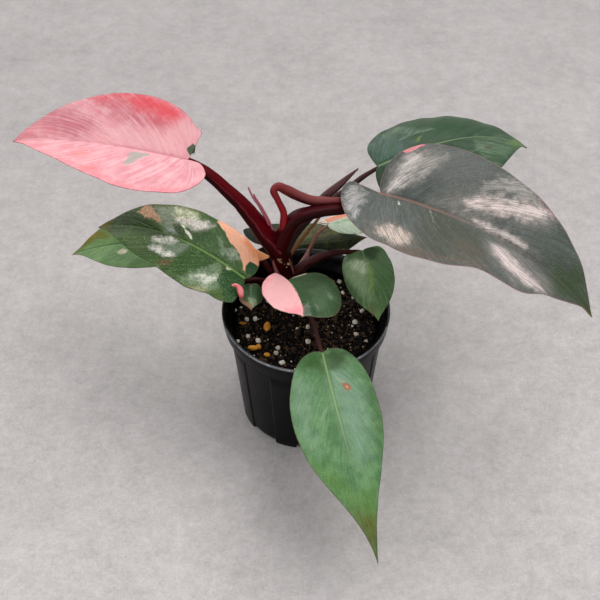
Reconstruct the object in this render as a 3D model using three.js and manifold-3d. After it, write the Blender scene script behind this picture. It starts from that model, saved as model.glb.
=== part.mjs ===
// A young pink princess philodendron in its nursery pot.
// Millimetres, +Z up. The origin is the centre of the pot's base on the surface it stands on,
// and the plant's widest spread lies along X.
import * as THREE from "three";
import { mergeVertices } from "three/addons/utils/BufferGeometryUtils.js";
import Module from "manifold-3d";

const wasm = await Module();
wasm.setup();

// ---------------------------------------------------------------- driving dimensions

const GAP = 0.3; // between pieces that touch

// pot
const POT_HEIGHT = 110.6;
const RIM_RADIUS = 65;
const RIM_DEPTH = 12.6;
const RIM_TAPER = 1.5; // how much narrower the band is at its lower edge
const LIP_WIDTH = 2.6;
const BODY_TOP_RADIUS = 58.8;
const BODY_FOOT_RADIUS = 51.2;
const WALL = 1.8;
const RIB_COUNT = 8;
const RIB_HEIGHT = 0.9; // how far a rib stands out of the panels beside it
const RIB_HALF_ANGLE = 9; // degrees
const RIB_EDGE_ANGLE = 1.4;
const FIRST_RIB_ANGLE = -108;
const FOOT_HEIGHT = 2.6;
const FLOOR_THICKNESS = 2;
const HUB_RADIUS = 13;
const DRAIN_RADIUS = 4;
const DRAIN_CIRCLE = 36;

// potting mix
const SOIL_HEIGHT = 93;
const SOIL_RELIEF = 1.4;
const SOIL_RINGS = 7;
const SOIL_SPOKES = 40;

// leaves
const BLADE = 0.9; // thickness
const KEEL_WIDTH = 2.4; // half width of the midrib ridge under a blade
const VEIN_START = 1.7; // outline stretch from which the side veins leave the midrib

// ---------------------------------------------------------------- geometry helpers

const radians = THREE.MathUtils.degToRad;

function indexed(vertices, triangles) {
  const geometry = new THREE.BufferGeometry();
  geometry.setAttribute("position", new THREE.Float32BufferAttribute(vertices.flat(), 3));
  geometry.setIndex(triangles.flat());
  return geometry;
}

function solidOf(geometry) {
  const bare = geometry.clone();
  bare.deleteAttribute("normal");
  bare.deleteAttribute("uv");
  const merged = mergeVertices(bare, 1e-4);
  return new wasm.Manifold(
    new wasm.Mesh({
      numProp: 3,
      vertProperties: merged.attributes.position.array,
      triVerts: new Uint32Array(merged.index.array),
    }),
  );
}

function geometryOf(solid) {
  const mesh = solid.getMesh();
  const geometry = new THREE.BufferGeometry();
  geometry.setAttribute("position", new THREE.BufferAttribute(mesh.vertProperties, 3));
  geometry.setIndex(new THREE.BufferAttribute(mesh.triVerts, 1));
  return geometry;
}

// The biggest body of a solid: what a cut leaves beyond a neighbour is a loose scrap.
function mainBody(solid) {
  const bodies = solid.decompose();
  return bodies.reduce((best, body) => (body.volume() > best.volume() ? body : best));
}

// A closed tube along a smooth curve through points. Its radius runs through radii, and wide
// stretches its section sideways. grow makes it larger all round.
function sweep(points, radii, { sides = 7, steps = 9, wide = 1, grow = 0 } = {}) {
  const curve = new THREE.CatmullRomCurve3(points.map((p) => new THREE.Vector3(...p)), false, "centripetal");
  const vertices = [];
  const triangles = [];
  const side = new THREE.Vector3(1, 0, 0);
  const up = new THREE.Vector3();
  for (let i = 0; i <= steps; i++) {
    const t = i / steps;
    const centre = curve.getPointAt(t);
    const tangent = curve.getTangentAt(t);
    if (i === 0) centre.addScaledVector(tangent, -grow);
    if (i === steps) centre.addScaledVector(tangent, grow);
    // carried along from the section before, so that the tube doesn't twist
    if (i === 0) side.crossVectors(tangent, new THREE.Vector3(0.13, 0.21, 0.97));
    side.addScaledVector(tangent, -side.dot(tangent)).normalize();
    up.crossVectors(side, tangent);
    const place = t * (radii.length - 1);
    const before = Math.min(Math.floor(place), radii.length - 2);
    const radius = THREE.MathUtils.lerp(radii[before], radii[before + 1], place - before) + grow;
    for (let k = 0; k < sides; k++) {
      const angle = (2 * Math.PI * k) / sides;
      const point = centre.clone();
      point.addScaledVector(side, radius * wide * Math.cos(angle));
      point.addScaledVector(up, radius * Math.sin(angle));
      vertices.push(point.toArray());
    }
  }
  for (let i = 0; i < steps; i++) {
    for (let k = 0; k < sides; k++) {
      const a = i * sides + k;
      const b = i * sides + ((k + 1) % sides);
      triangles.push([a, a + sides, b], [b, a + sides, b + sides]);
    }
  }
  const last = steps * sides;
  for (let k = 1; k < sides - 1; k++) {
    triangles.push([0, k, k + 1], [last, last + k + 1, last + k]);
  }
  return indexed(vertices, triangles);
}

// ---------------------------------------------------------------- leaf blades

// Each leaf has its junction with the petiole at base and a midrib of the given length, which
// sets off at heading and pitch and bends by turn and droop towards the tip, in degrees. roll
// and twist bank the blade about it, fold lifts both halves, and cup bends them back down.
// A half's outline: how far its basal lobe reaches back and where, where it is widest and how
// wide, how full its shoulder is, and how its tip is drawn out. waves push the margin out at
// places along it: 0 to 1 is the sinus, 1 to 2 the lobe to the widest point, 2 to 3 on to the
// tip. left is the side to the left for someone who looks along the heading. A flap is a folded
// corner of the right half: its corners are [along, out, how far it hangs under the blade].

const half = (lobeBack, lobeOut, widestAt, halfWidth, shoulder, tipReach, tipAngle, waves = []) => ({
  lobeBack,
  lobeOut,
  widestAt,
  halfWidth,
  shoulder,
  tipReach,
  tipAngle,
  waves,
});

const LEAVES = {
  pink_leaf: {
    base: [-88, 60, 208],
    length: 145,
    heading: 170,
    turn: -9,
    pitch: 8,
    droop: -30,
    roll: -22,
    twist: -1,
    fold: 22,
    cup: 0.14,
    keel: 2.2,
    columns: [5, 5, 8],
    left: half(16, 12.5, 32, 41.7, 0.3, 0.13, 8, [
      [0.35, 1.8, 0.25],
      [1.47, 1.5, 0.15],
    ]),
    right: half(0.8, 20.5, 40.7, 42.3, 0.49, 0.01, 9, [
      [0.42, -4, 0.22],
      [1.02, 5, 0.09],
    ]),
    flap: [
      [2.5, 4, 0.2],
      [-3.6, 12.4, 0.5],
      [-4.4, 5.5, 0.5],
    ],
    colour: 0xe9929c,
  },
  marbled_leaf: {
    base: [-47, 12, 130],
    length: 135,
    heading: 151,
    turn: 8,
    pitch: 25,
    droop: -56,
    roll: -1,
    twist: -12,
    fold: 11,
    cup: 0.58,
    keel: 2,
    columns: [4, 6, 8],
    left: half(4.6, 23, 39, 34.2, 0.56, 0.25, 19, [
      [1.62, -1.5, 0.1],
      [1.92, 1.3, 0.1],
      [2.2, -1.8, 0.1],
    ]),
    right: half(3.6, 9, 45.4, 33.8, 0.6, 0.28, 19, [[1.5, 4.5, 0.3]]),
    flap: [
      [2, 18, 0.2],
      [-5.5, 35, 1],
      [9, 30, 0.2],
    ],
    colour: 0x66806a,
  },
  under_leaf: {
    base: [-104, 68, 113],
    length: 91,
    heading: 176,
    turn: -2,
    pitch: 1,
    droop: -33,
    roll: -14,
    twist: -5,
    fold: 10,
    cup: 0.14,
    keel: 1.4,
    columns: [2, 4, 6],
    left: half(10.8, 13.4, 27.6, 25.4, 0.55, 0.33, 15),
    right: half(10.9, 13.4, 28.3, 25.5, 0.56, 0.32, 16),
    colour: 0x5f8a58,
  },
  large_leaf: {
    base: [56, 48, 185],
    length: 191,
    heading: -29,
    turn: 6,
    pitch: 8,
    droop: -58,
    roll: 13,
    twist: -5,
    fold: 22,
    cup: 0.3,
    keel: 2.6,
    columns: [4, 6, 11],
    left: half(3.9, 17.9, 41.6, 54.6, 0.6, 0.1, 15.5),
    right: half(28.6, -2.4, 36.7, 54.8, 0.53, 0.16, 12.8, [
      [0.6, 2.6, 0.25],
      [1.1, 1.6, 0.12],
      [2.05, 1.8, 0.07],
      [2.27, -4.5, 0.07],
      [2.45, 5, 0.08],
      [2.82, -2, 0.08],
    ]),
    colour: 0x616b66,
  },
  back_leaf: {
    base: [56, 90, 175],
    length: 142,
    heading: 17,
    turn: 7,
    pitch: 19,
    droop: -64,
    roll: 9,
    twist: -6,
    fold: 5,
    cup: 0.89,
    keel: 2,
    columns: [3, 5, 8],
    left: half(2, 16.7, 42.5, 43.3, 0.57, 0.32, 16),
    right: half(6.2, 18, 44.5, 43.4, 0.58, 0.33, 16),
    colour: 0x4d7050,
  },
  hanging_leaf: {
    base: [12, -53, 119],
    length: 163,
    heading: -80,
    turn: 12,
    pitch: -5,
    droop: -47,
    roll: 5,
    twist: -4,
    fold: -2,
    cup: 0.82,
    keel: 2.2,
    columns: [3, 5, 9],
    left: half(3.9, 15.3, 46.5, 32.2, 0.44, 0.37, 9, [
      [1.15, -2.4, 0.35],
      [2.5, -2.2, 0.3],
    ]),
    right: half(2.6, 8, 47.8, 32.5, 0.46, 0.41, 4),
    colour: 0x6a9a6b,
  },
  half_pink_leaf: {
    base: [-13.5, 6.5, 133.5],
    length: 52,
    heading: -62,
    turn: -31,
    pitch: 16.5,
    droop: -5.5,
    roll: -4,
    twist: -1,
    fold: -2,
    cup: 0.03,
    keel: 1.2,
    columns: [2, 4, 6],
    left: half(3.5, 17, 14, 32, 1.3, 0.25, 40),
    right: half(16.5, 3.5, 14, 25, 1.12, 0.25, 34),
    colour: 0xa7a08a,
  },
  side_leaf: {
    base: [44, 42, 130],
    length: 66,
    heading: -80,
    turn: -1,
    pitch: 5,
    droop: -37,
    roll: 10,
    twist: -2,
    fold: 0,
    cup: 0.46,
    keel: 1.2,
    columns: [2, 4, 6],
    left: half(2.9, 12.5, 19.9, 19.3, 0.68, 0.19, 20),
    right: half(2.6, 12.7, 19.9, 19.5, 0.68, 0.23, 19),
    colour: 0x52774f,
  },
  shaded_leaf: {
    base: [18, 56, 146],
    length: 62,
    heading: 30,
    turn: 0,
    pitch: -4,
    droop: -26,
    roll: -17,
    twist: 4,
    fold: 5,
    cup: 0.75,
    keel: 1.1,
    columns: [2, 4, 5],
    left: half(4.6, 7, 17.4, 18.7, 0.55, 0.35, 14),
    right: half(3.4, 6, 16.8, 18.8, 0.55, 0.35, 14),
    colour: 0xa9c3a4,
  },
  tiny_leaf: {
    base: [-42, 9, 126],
    length: 24,
    heading: -89,
    turn: 1,
    pitch: 1,
    droop: -20,
    roll: 1,
    twist: -3,
    fold: -5,
    cup: 0.71,
    keel: 0.6,
    columns: [2, 3, 4],
    left: half(2.1, 3.9, 7.9, 9, 0.61, 0.28, 17),
    right: half(2, 3.9, 8, 9, 0.61, 0.28, 17),
    colour: 0x5c7657,
  },
  old_leaf: {
    base: [-32, 77, 101],
    length: 84,
    heading: 8,
    turn: 3,
    pitch: -4,
    droop: 3,
    roll: 36,
    twist: -3,
    fold: -11,
    cup: 0.95,
    keel: 1.3,
    columns: [2, 4, 5],
    left: half(17.4, 14.4, 21.8, 20.9, 0.52, 0.3, 20),
    right: half(15.3, 13.8, 23, 21.4, 0.54, 0.31, 19),
    colour: 0x3c4a2c,
  },
};

// Points of a half's outline in the flat blade, as [along the midrib, out from it], with each
// point's place on the outline from 0 to 3.
function halfOutline(leaf, shape) {
  const { lobeBack, lobeOut, widestAt, halfWidth, shoulder, tipReach, tipAngle } = shape;
  const ahead = leaf.length - widestAt;
  const taper = tipReach * ahead;
  const vector = (along, out) => new THREE.Vector2(along, out);
  const junction = vector(0, 0);
  const lobe = vector(-lobeBack, lobeOut);
  const widest = vector(widestAt, halfWidth);
  const tip = vector(leaf.length, 0);
  const stretches = [
    new THREE.CubicBezierCurve(
      junction,
      vector(-0.55 * lobeBack, 0.12 * lobeOut),
      vector(-lobeBack, 0.5 * lobeOut),
      lobe,
    ),
    new THREE.CubicBezierCurve(
      lobe,
      vector(-lobeBack, lobeOut + 0.55 * (halfWidth - lobeOut)),
      vector(0.5 * (widestAt - lobeBack), halfWidth),
      widest,
    ),
    new THREE.CubicBezierCurve(
      widest,
      vector(widestAt + shoulder * ahead, halfWidth),
      vector(leaf.length - taper * Math.cos(radians(tipAngle)), taper * Math.sin(radians(tipAngle))),
      tip,
    ),
  ];
  const points = [];
  stretches.forEach((stretch, s) => {
    const count = leaf.columns[s];
    for (let i = s === 0 ? 0 : 1; i <= count; i++) {
      const t = i / count;
      const place = s + t;
      const point = stretch.getPoint(t);
      const tangent = stretch.getTangent(t);
      let push = 0;
      for (const [at, out, reach] of shape.waves) push += out * Math.exp(-(((place - at) / reach) ** 2));
      // no wave where the halves meet, at the junction and at the tip
      push *= Math.min(1, 4 * place, 8 * (3 - place));
      point.x -= tangent.y * push;
      point.y += tangent.x * push;
      points.push({ place, along: point.x, out: point.y });
    }
  });
  return openFan(points);
}

// The lobe is a fan about the junction, so its points turn one way round it.
function openFan(points) {
  const STEP = 0.01;
  const inFan = points.filter((point) => point.place <= VEIN_START);
  for (let i = inFan.length - 2; i > 0; i--) {
    const point = inFan[i];
    const next = inFan[i + 1];
    const limit = Math.atan2(next.out, -next.along) - STEP;
    const angle = Math.atan2(point.out, -point.along);
    const reach = Math.hypot(point.along, point.out);
    if (angle <= limit) continue;
    point.along = -reach * Math.cos(limit);
    point.out = reach * Math.sin(limit);
  }
  return points;
}

// The midrib's centre line and the blade's frame along it.
function midribOf(leaf) {
  const STEPS = 60;
  const direction = (q) => {
    const heading = radians(leaf.heading + leaf.turn * q);
    const pitch = radians(leaf.pitch + leaf.droop * Math.max(q, 0) ** 1.3);
    return new THREE.Vector3(
      Math.cos(pitch) * Math.cos(heading),
      Math.cos(pitch) * Math.sin(heading),
      Math.sin(pitch),
    );
  };
  const line = [new THREE.Vector3(...leaf.base)];
  for (let i = 0; i < STEPS; i++) {
    const next = line[i].clone();
    line.push(next.addScaledVector(direction((i + 0.5) / STEPS), leaf.length / STEPS));
  }
  const centre = (q) => {
    if (q <= 0) return line[0].clone().addScaledVector(direction(0), q * leaf.length);
    const place = Math.min(q, 1) * STEPS;
    const i = Math.min(Math.floor(place), STEPS - 1);
    return line[i].clone().lerp(line[i + 1], place - i);
  };
  const frame = (q) => {
    const along = THREE.MathUtils.clamp(q, 0, 1);
    const heading = radians(leaf.heading + leaf.turn * along);
    const bank = radians(leaf.roll + leaf.twist * along);
    const level = new THREE.Vector3(-Math.sin(heading), Math.cos(heading), 0);
    const rise = new THREE.Vector3().crossVectors(direction(along), level);
    return {
      side: level.clone().multiplyScalar(Math.cos(bank)).addScaledVector(rise, Math.sin(bank)),
      up: level.clone().multiplyScalar(-Math.sin(bank)).addScaledVector(rise, Math.cos(bank)),
    };
  };
  return { centre, frame };
}

// The place in space of a point of the flat blade, on its left (hand 1) or right (hand -1) half.
function bladePoint(leaf, midrib, along, out, hand) {
  const q = along / leaf.length;
  const { side, up } = midrib.frame(q);
  const lift = out * Math.sin(radians(leaf.fold)) - (leaf.cup * out * out) / (0.6 * leaf.length);
  const point = midrib.centre(q);
  point.addScaledVector(side, hand * out * Math.cos(radians(leaf.fold)));
  return point.addScaledVector(up, lift);
}

function bladeNormal(leaf, midrib, along, out, hand) {
  const STEP = 0.5;
  if (out < STEP) return midrib.frame(along / leaf.length).up;
  const at = (a, b) => bladePoint(leaf, midrib, a, b, hand);
  const lengthways = at(along + STEP, out).sub(at(along - STEP, out));
  const sideways = at(along, out + STEP).sub(at(along, out - STEP));
  return lengthways.cross(sideways).multiplyScalar(hand).normalize();
}

// A blade: two faces split into the same triangles, joined round the margin, with the midrib as
// a keel under it.
function blade(leaf) {
  const midrib = midribOf(leaf);
  const ROWS = 3;
  const vertices = [];
  const triangles = [];
  const numbers = new Map();
  // faces: 0 is the upper one and 1 the lower one
  const vertex = (along, out, hand, face, isMidrib) => {
    const key = [along.toFixed(4), out.toFixed(4), out < 1e-6 ? 0 : hand, face].join();
    if (numbers.has(key)) return numbers.get(key);
    const normal = bladeNormal(leaf, midrib, along, out, hand);
    const keel = isMidrib ? leaf.keel * (1 - 0.85 * Math.max(along / leaf.length, 0)) : 0;
    const offset = face === 0 ? BLADE / 2 : -BLADE / 2 - keel;
    vertices.push(bladePoint(leaf, midrib, along, out, hand).addScaledVector(normal, offset).toArray());
    numbers.set(key, vertices.length - 1);
    return vertices.length - 1;
  };
  const triangle = (a, b, c, flip) => {
    if (a === b || b === c || a === c) return;
    triangles.push(flip ? [a, c, b] : [a, b, c]);
  };
  for (const [hand, shape] of [
    [1, leaf.left],
    [-1, leaf.right],
  ]) {
    const margin = halfOutline(leaf, shape);
    const columns = margin.map(({ place, along, out }) => {
      const rooted = Math.max(0, (place - VEIN_START) / (3 - VEIN_START)) ** 1.7;
      const root = rooted * leaf.length;
      const reach = Math.hypot(along - root, out);
      const keel = Math.min(0.3, KEEL_WIDTH / Math.max(reach, 1));
      return [0, keel, 0.5 * (1 + keel), 1].map((r) => [
        THREE.MathUtils.lerp(root, along, r),
        out * r,
        r === 0,
      ]);
    });
    const at = (i, j, face) => vertex(columns[i][j][0], columns[i][j][1], hand, face, columns[i][j][2]);
    // the wall of the sinus, from the junction out to the margin's first point
    for (let j = 0; j < ROWS; j++) {
      const flip = hand === -1;
      triangle(at(1, j, 0), at(1, j + 1, 0), at(1, j + 1, 1), flip);
      triangle(at(1, j, 0), at(1, j + 1, 1), at(1, j, 1), flip);
    }
    for (let i = 1; i + 1 < columns.length; i++) {
      for (let j = 0; j < ROWS; j++) {
        for (const face of [0, 1]) {
          const flip = (hand === 1) === (face === 1);
          triangle(at(i, j, face), at(i + 1, j, face), at(i + 1, j + 1, face), flip);
          triangle(at(i, j, face), at(i + 1, j + 1, face), at(i, j + 1, face), flip);
        }
      }
      const flip = hand === -1;
      triangle(at(i, ROWS, 0), at(i + 1, ROWS, 0), at(i + 1, ROWS, 1), flip);
      triangle(at(i, ROWS, 0), at(i + 1, ROWS, 1), at(i, ROWS, 1), flip);
    }
  }
  return indexed(vertices, triangles);
}

function flap(leaf) {
  const midrib = midribOf(leaf);
  const corners = [];
  for (const [along, out, drop] of leaf.flap) {
    const normal = bladeNormal(leaf, midrib, along, out, -1);
    for (const depth of [drop, drop + BLADE]) {
      corners.push(bladePoint(leaf, midrib, along, out, -1).addScaledVector(normal, -depth).toArray());
    }
  }
  return wasm.Manifold.hull(corners);
}

// ---------------------------------------------------------------- stem, petioles and sheaths

const STEM = {
  points: [
    [-18, 35, 84],
    [-18, 35, 98],
    [-18, 34.5, 116],
    [-20, 33, 136],
    [-22, 32, 148],
    [-22.5, 31.5, 157],
  ],
  radii: [8.5, 8.5, 9.5, 8, 9, 7, 3],
  options: { sides: 12, steps: 12 },
  colour: 0x4a1f20,
};

// In the order in which each gives way to those before it, where they leave the stem.
const PETIOLES = {
  pink_leaf: {
    points: [
      [-21, 31, 142],
      [-29, 33, 153],
      [-39, 38, 167],
      [-49, 43, 179],
      [-61, 48, 190],
      [-75, 54, 201],
      [-88, 60, 208],
    ],
    radii: [8, 7.6, 6.6, 5.6, 5, 4.4],
    options: { sides: 9 },
  },
  large_leaf: {
    points: [
      [-20, 31, 148],
      [-15, 32, 162],
      [-7, 34, 173],
      [3, 37, 175],
      [14, 40, 175],
      [28, 43, 174],
      [42, 46, 177],
      [56, 48, 185],
    ],
    radii: [7, 6.4, 5.6, 4.8, 4.2, 3.6],
    options: { sides: 9, steps: 11 },
  },
  back_leaf: {
    points: [
      [-16, 35, 138],
      [-11, 42, 144],
      [-2, 50, 151],
      [11, 62, 157],
      [23, 70, 161],
      [34, 77, 165],
      [44, 84, 169],
      [56, 90, 175],
    ],
    radii: [4.4, 3.6, 2.9, 2.4, 2.2, 2.1],
    options: { steps: 10 },
  },
  side_leaf: {
    points: [
      [-16, 34, 102],
      [-11, 33, 110],
      [-5, 34, 118],
      [3, 35, 125],
      [12, 36, 130],
      [23, 39, 131],
      [34, 43, 128],
      [44, 42, 130],
    ],
    radii: [4.6, 4.4, 4, 3.4, 2.6, 2.1],
    options: { steps: 10 },
  },
  marbled_leaf: {
    points: [
      [-17, 34, 101],
      [-24, 30, 107],
      [-32, 25, 113],
      [-39, 19, 121],
      [-47, 12, 130],
    ],
    radii: [3.4, 3, 2.7, 2.4],
    options: {},
  },
  under_leaf: {
    points: [
      [-20, 36, 101],
      [-28, 42, 107],
      [-36, 50, 114],
      [-50, 57, 118],
      [-75, 63, 118],
      [-104, 68, 113],
    ],
    radii: [2.8, 2.4, 2, 1.9, 1.8],
    options: { steps: 10 },
  },
  shaded_leaf: {
    points: [
      [-11, 36, 108],
      [-6, 40, 112],
      [-2, 43, 118],
      [2, 45, 126],
      [6, 48, 134],
      [10, 51, 141],
      [18, 56, 146],
    ],
    radii: [2.8, 2.2, 1.7, 1.5, 1.4],
    options: {},
  },
  hanging_leaf: {
    points: [
      [-15, 29, 99],
      [-8, 20, 98],
      [0, 7, 98],
      [5, -4, 100],
      [8, -22, 104],
      [10, -41, 112],
      [12, -53, 119],
    ],
    radii: [2.6, 2.2, 2, 2, 2, 2],
    options: { steps: 10 },
  },
  half_pink_leaf: {
    points: [
      [-17, 30, 106],
      [-18, 22, 112],
      [-17, 15, 120],
      [-15, 9, 128],
      [-13.5, 6.5, 133.5],
    ],
    radii: [2.2, 1.8, 1.5],
    options: { steps: 7 },
  },
  tiny_leaf: {
    points: [
      [-21, 29, 98],
      [-30, 20, 101],
      [-38, 14, 110],
      [-42, 11, 119],
      [-42, 9, 126],
    ],
    radii: [1.7, 1.4, 1.2, 1],
    options: { sides: 6, steps: 7 },
  },
  old_leaf: {
    points: [
      [-21, 40, 105],
      [-25, 50, 114],
      [-29, 62, 118],
      [-32, 71, 114],
      [-33, 76, 107],
      [-32, 77, 101],
    ],
    radii: [2.8, 2.2, 2, 1.9],
    options: { steps: 10 },
  },
};

// Rolled young leaf, and the sheaths that young leaves came out of.
const SHEATHS = {
  bent_sheath: {
    points: [
      [-18, 31, 158],
      [-17, 32, 170],
      [-17, 34, 179],
      [-21, 36, 189],
      [-24, 38, 197],
      [-21, 39, 200],
      [-15, 40, 196],
      [-6, 42, 188],
      [4, 43.5, 182],
      [15, 46, 179],
      [26, 49, 176],
      [34, 52, 172],
    ],
    radii: [3.6, 3.3, 2.9, 2.6, 3.4, 4.2, 4.3, 4.2, 4, 3.4, 1],
    options: { sides: 8, steps: 20 },
    colour: 0x7a3535,
  },
  new_leaf_spear: {
    points: [
      [-17, 34, 151],
      [-9, 41, 158],
      [-1, 47, 163],
      [8, 51, 169],
      [15, 53.5, 177],
      [24, 56, 185],
      [33, 58, 194],
      [39, 60, 199],
    ],
    radii: [3, 3.2, 3.4, 3.6, 3.6, 3.2, 2, 0.5],
    options: { sides: 8, steps: 12 },
    colour: 0x4c2426,
  },
  pink_sheath: {
    points: [
      [-26, 35, 158],
      [-29, 37, 168],
      [-34, 39, 179],
      [-39, 40, 189],
      [-42, 41, 197],
    ],
    radii: [2, 1.7, 1.3, 1.1, 1.3],
    options: { sides: 6, steps: 8, wide: 1.4 },
    colour: 0xc96a78,
  },
  dry_sheath: {
    points: [
      [-16, 37, 124],
      [-9, 42, 132],
      [-1, 48, 141],
      [9, 56, 150],
      [13, 60, 154],
    ],
    radii: [2, 1.3, 1.1, 1, 0.6],
    options: { sides: 6, steps: 7 },
    colour: 0xa8744c,
  },
  pink_bud: {
    points: [
      [-48.2, -2, 124.1],
      [-48.8, -5.2, 130.8],
      [-50.2, -2.1, 134.2],
      [-52.8, -0.9, 136.5],
      [-55.8, -0.9, 136],
    ],
    radii: [0.8, 1.3, 2.1, 2.3, 1.6, 0.9],
    options: { sides: 7, steps: 8 },
    colour: 0xf07a86,
  },
};

function stalk({ points, radii, options }, grow = 0) {
  return solidOf(sweep(points, radii, { ...options, grow }));
}

// ---------------------------------------------------------------- pot and potting mix

// A surface of revolution whose profile is given for each angle: profile(angle) returns as many
// [radius, height] points for every angle, from the axis underneath to the axis inside.
function revolve(angles, profile) {
  const vertices = [];
  const rings = angles.map((angle) =>
    profile(angle).map(([radius, height]) => {
      if (radius === 0) return `axis ${height}`;
      vertices.push([radius * Math.cos(radians(angle)), radius * Math.sin(radians(angle)), height]);
      return vertices.length - 1;
    }),
  );
  const axis = new Map();
  const number = (entry) => {
    if (typeof entry === "number") return entry;
    if (!axis.has(entry)) {
      vertices.push([0, 0, Number(entry.split(" ")[1])]);
      axis.set(entry, vertices.length - 1);
    }
    return axis.get(entry);
  };
  const triangles = [];
  rings.forEach((ring, k) => {
    const next = rings[(k + 1) % rings.length];
    for (let i = 0; i + 1 < ring.length; i++) {
      const [a, b, c, d] = [ring[i], ring[i + 1], next[i + 1], next[i]].map(number);
      if (a !== d) triangles.push([a, d, c]);
      if (b !== c) triangles.push([a, c, b]);
    }
  });
  return indexed(vertices, triangles);
}

// Columns of the pot wall: both edges and the middle of each rib, and the panel between.
function potAngles() {
  const pitch = 360 / RIB_COUNT;
  const inner = RIB_HALF_ANGLE;
  const outer = RIB_HALF_ANGLE + RIB_EDGE_ANGLE;
  const panel = pitch - 2 * outer;
  const offsets = [-outer, -inner, 0, inner, outer, outer + panel / 3, outer + (2 * panel) / 3];
  const angles = [];
  for (let rib = 0; rib < RIB_COUNT; rib++) {
    for (const offset of offsets) angles.push({ angle: FIRST_RIB_ANGLE + rib * pitch + offset, offset });
  }
  return angles;
}

function pot() {
  const columns = potAngles();
  const ribAt = new Map(columns.map(({ angle, offset }) => [angle, Math.abs(offset) <= RIB_HALF_ANGLE]));
  const rimFoot = POT_HEIGHT - RIM_DEPTH;
  const shoulder = rimFoot - 1.5;
  const profile = (angle) => {
    const isRib = ribAt.get(angle);
    const proud = isRib ? RIB_HEIGHT : 0;
    const foot = isRib ? 0 : FOOT_HEIGHT;
    const inside = FOOT_HEIGHT + FLOOR_THICKNESS;
    return [
      [0, 0],
      [HUB_RADIUS, 0],
      [HUB_RADIUS + 2, FOOT_HEIGHT],
      [BODY_FOOT_RADIUS - 6, FOOT_HEIGHT],
      [BODY_FOOT_RADIUS - 4.5, foot],
      [BODY_FOOT_RADIUS + proud - 0.8, foot],
      [BODY_FOOT_RADIUS + proud, foot + 1.2],
      [BODY_TOP_RADIUS + proud - 0.8, 82],
      [BODY_TOP_RADIUS - 0.4, 86],
      [BODY_TOP_RADIUS, rimFoot],
      [RIM_RADIUS - RIM_TAPER, rimFoot],
      [RIM_RADIUS - 0.2, POT_HEIGHT - 1.2],
      [RIM_RADIUS - 1, POT_HEIGHT],
      [RIM_RADIUS - LIP_WIDTH, POT_HEIGHT],
      [RIM_RADIUS - RIM_TAPER - WALL, rimFoot + 3],
      [BODY_TOP_RADIUS - WALL, shoulder],
      [BODY_FOOT_RADIUS - WALL, inside],
      [0, inside],
    ];
  };
  let solid = solidOf(revolve(columns.map(({ angle }) => angle), profile));
  for (let k = 0; k < RIB_COUNT; k++) {
    const drain = new THREE.CylinderGeometry(DRAIN_RADIUS, DRAIN_RADIUS, 20, 12);
    const angle = radians(FIRST_RIB_ANGLE + (k * 360) / RIB_COUNT);
    drain.rotateX(Math.PI / 2);
    drain.translate(DRAIN_CIRCLE * Math.cos(angle), DRAIN_CIRCLE * Math.sin(angle), 0);
    solid = solid.subtract(solidOf(drain));
  }
  return solid;
}

// Height of the mix above its level at a point, from crossed waves of different lengths.
function crumb(x, y) {
  const coarse = Math.sin(0.31 * x + 1.3) * Math.cos(0.27 * y - 0.4);
  const fine = Math.sin(0.83 * x - 0.7 * y) * Math.cos(0.64 * y + 0.5 * x + 2);
  return SOIL_RELIEF * (0.55 * coarse + 0.45 * fine);
}

function pottingMix() {
  const bottom = FOOT_HEIGHT + FLOOR_THICKNESS + GAP;
  const innerFoot = BODY_FOOT_RADIUS - WALL - GAP;
  const innerTop = BODY_TOP_RADIUS - WALL - GAP;
  const slope = (innerTop - innerFoot) / (POT_HEIGHT - RIM_DEPTH - 1.5 - bottom);
  const topRadius = innerFoot + slope * (SOIL_HEIGHT - 2 - bottom) - 0.3;
  const angles = [];
  for (let k = 0; k < SOIL_SPOKES; k++) angles.push((k * 360) / SOIL_SPOKES);
  const profile = (angle) => {
    const points = [
      [0, bottom],
      [innerFoot - 0.4, bottom],
      [topRadius, SOIL_HEIGHT - 2],
    ];
    for (let ring = SOIL_RINGS; ring > 0; ring--) {
      const radius = ((topRadius - 0.6) * ring) / SOIL_RINGS;
      const [x, y] = [radius * Math.cos(radians(angle)), radius * Math.sin(radians(angle))];
      points.push([radius, SOIL_HEIGHT + crumb(x, y)]);
    }
    points.push([0, SOIL_HEIGHT + crumb(0, 0)]);
    return points;
  };
  return solidOf(revolve(angles, profile));
}

// ---------------------------------------------------------------- the plant in its pot

const group = new THREE.Group();

function addPiece(name, solid, color, roughness) {
  const material = new THREE.MeshStandardMaterial({ color, roughness, metalness: 0, flatShading: true });
  const mesh = new THREE.Mesh(geometryOf(solid), material);
  mesh.name = name;
  group.add(mesh);
}

addPiece("pot", pot(), 0x1c1c1e, 0.45);

const clearances = [stalk(STEM, GAP)];
const cutClear = (solid, neighbours) =>
  mainBody(neighbours.reduce((rest, neighbour) => rest.subtract(neighbour), solid));

addPiece("potting_mix", cutClear(pottingMix(), clearances), 0x2b1d16, 0.95);
addPiece("plant_stem", stalk(STEM), STEM.colour, 0.5);

for (const [name, petiole] of Object.entries(PETIOLES)) {
  const leaf = LEAVES[name];
  let bladeSolid = solidOf(blade(leaf));
  if (leaf.flap) bladeSolid = bladeSolid.add(flap(leaf));
  addPiece(name, bladeSolid.add(cutClear(stalk(petiole), clearances)), leaf.colour, 0.4);
  clearances.push(stalk(petiole, GAP));
}
for (const [name, sheath] of Object.entries(SHEATHS)) {
  addPiece(name, cutClear(stalk(sheath), clearances), sheath.colour, 0.5);
  clearances.push(stalk(sheath, GAP));
}

export default group;
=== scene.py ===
"""Looks for a young pink princess philodendron in its nursery pot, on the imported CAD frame.

Shapes are written in millimetres in the CAD frame and turned into metres when a mesh is made.
Leaves, petioles and the pot repeat the numbers of the CAD source on a finer mesh.
"""

import math

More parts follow.
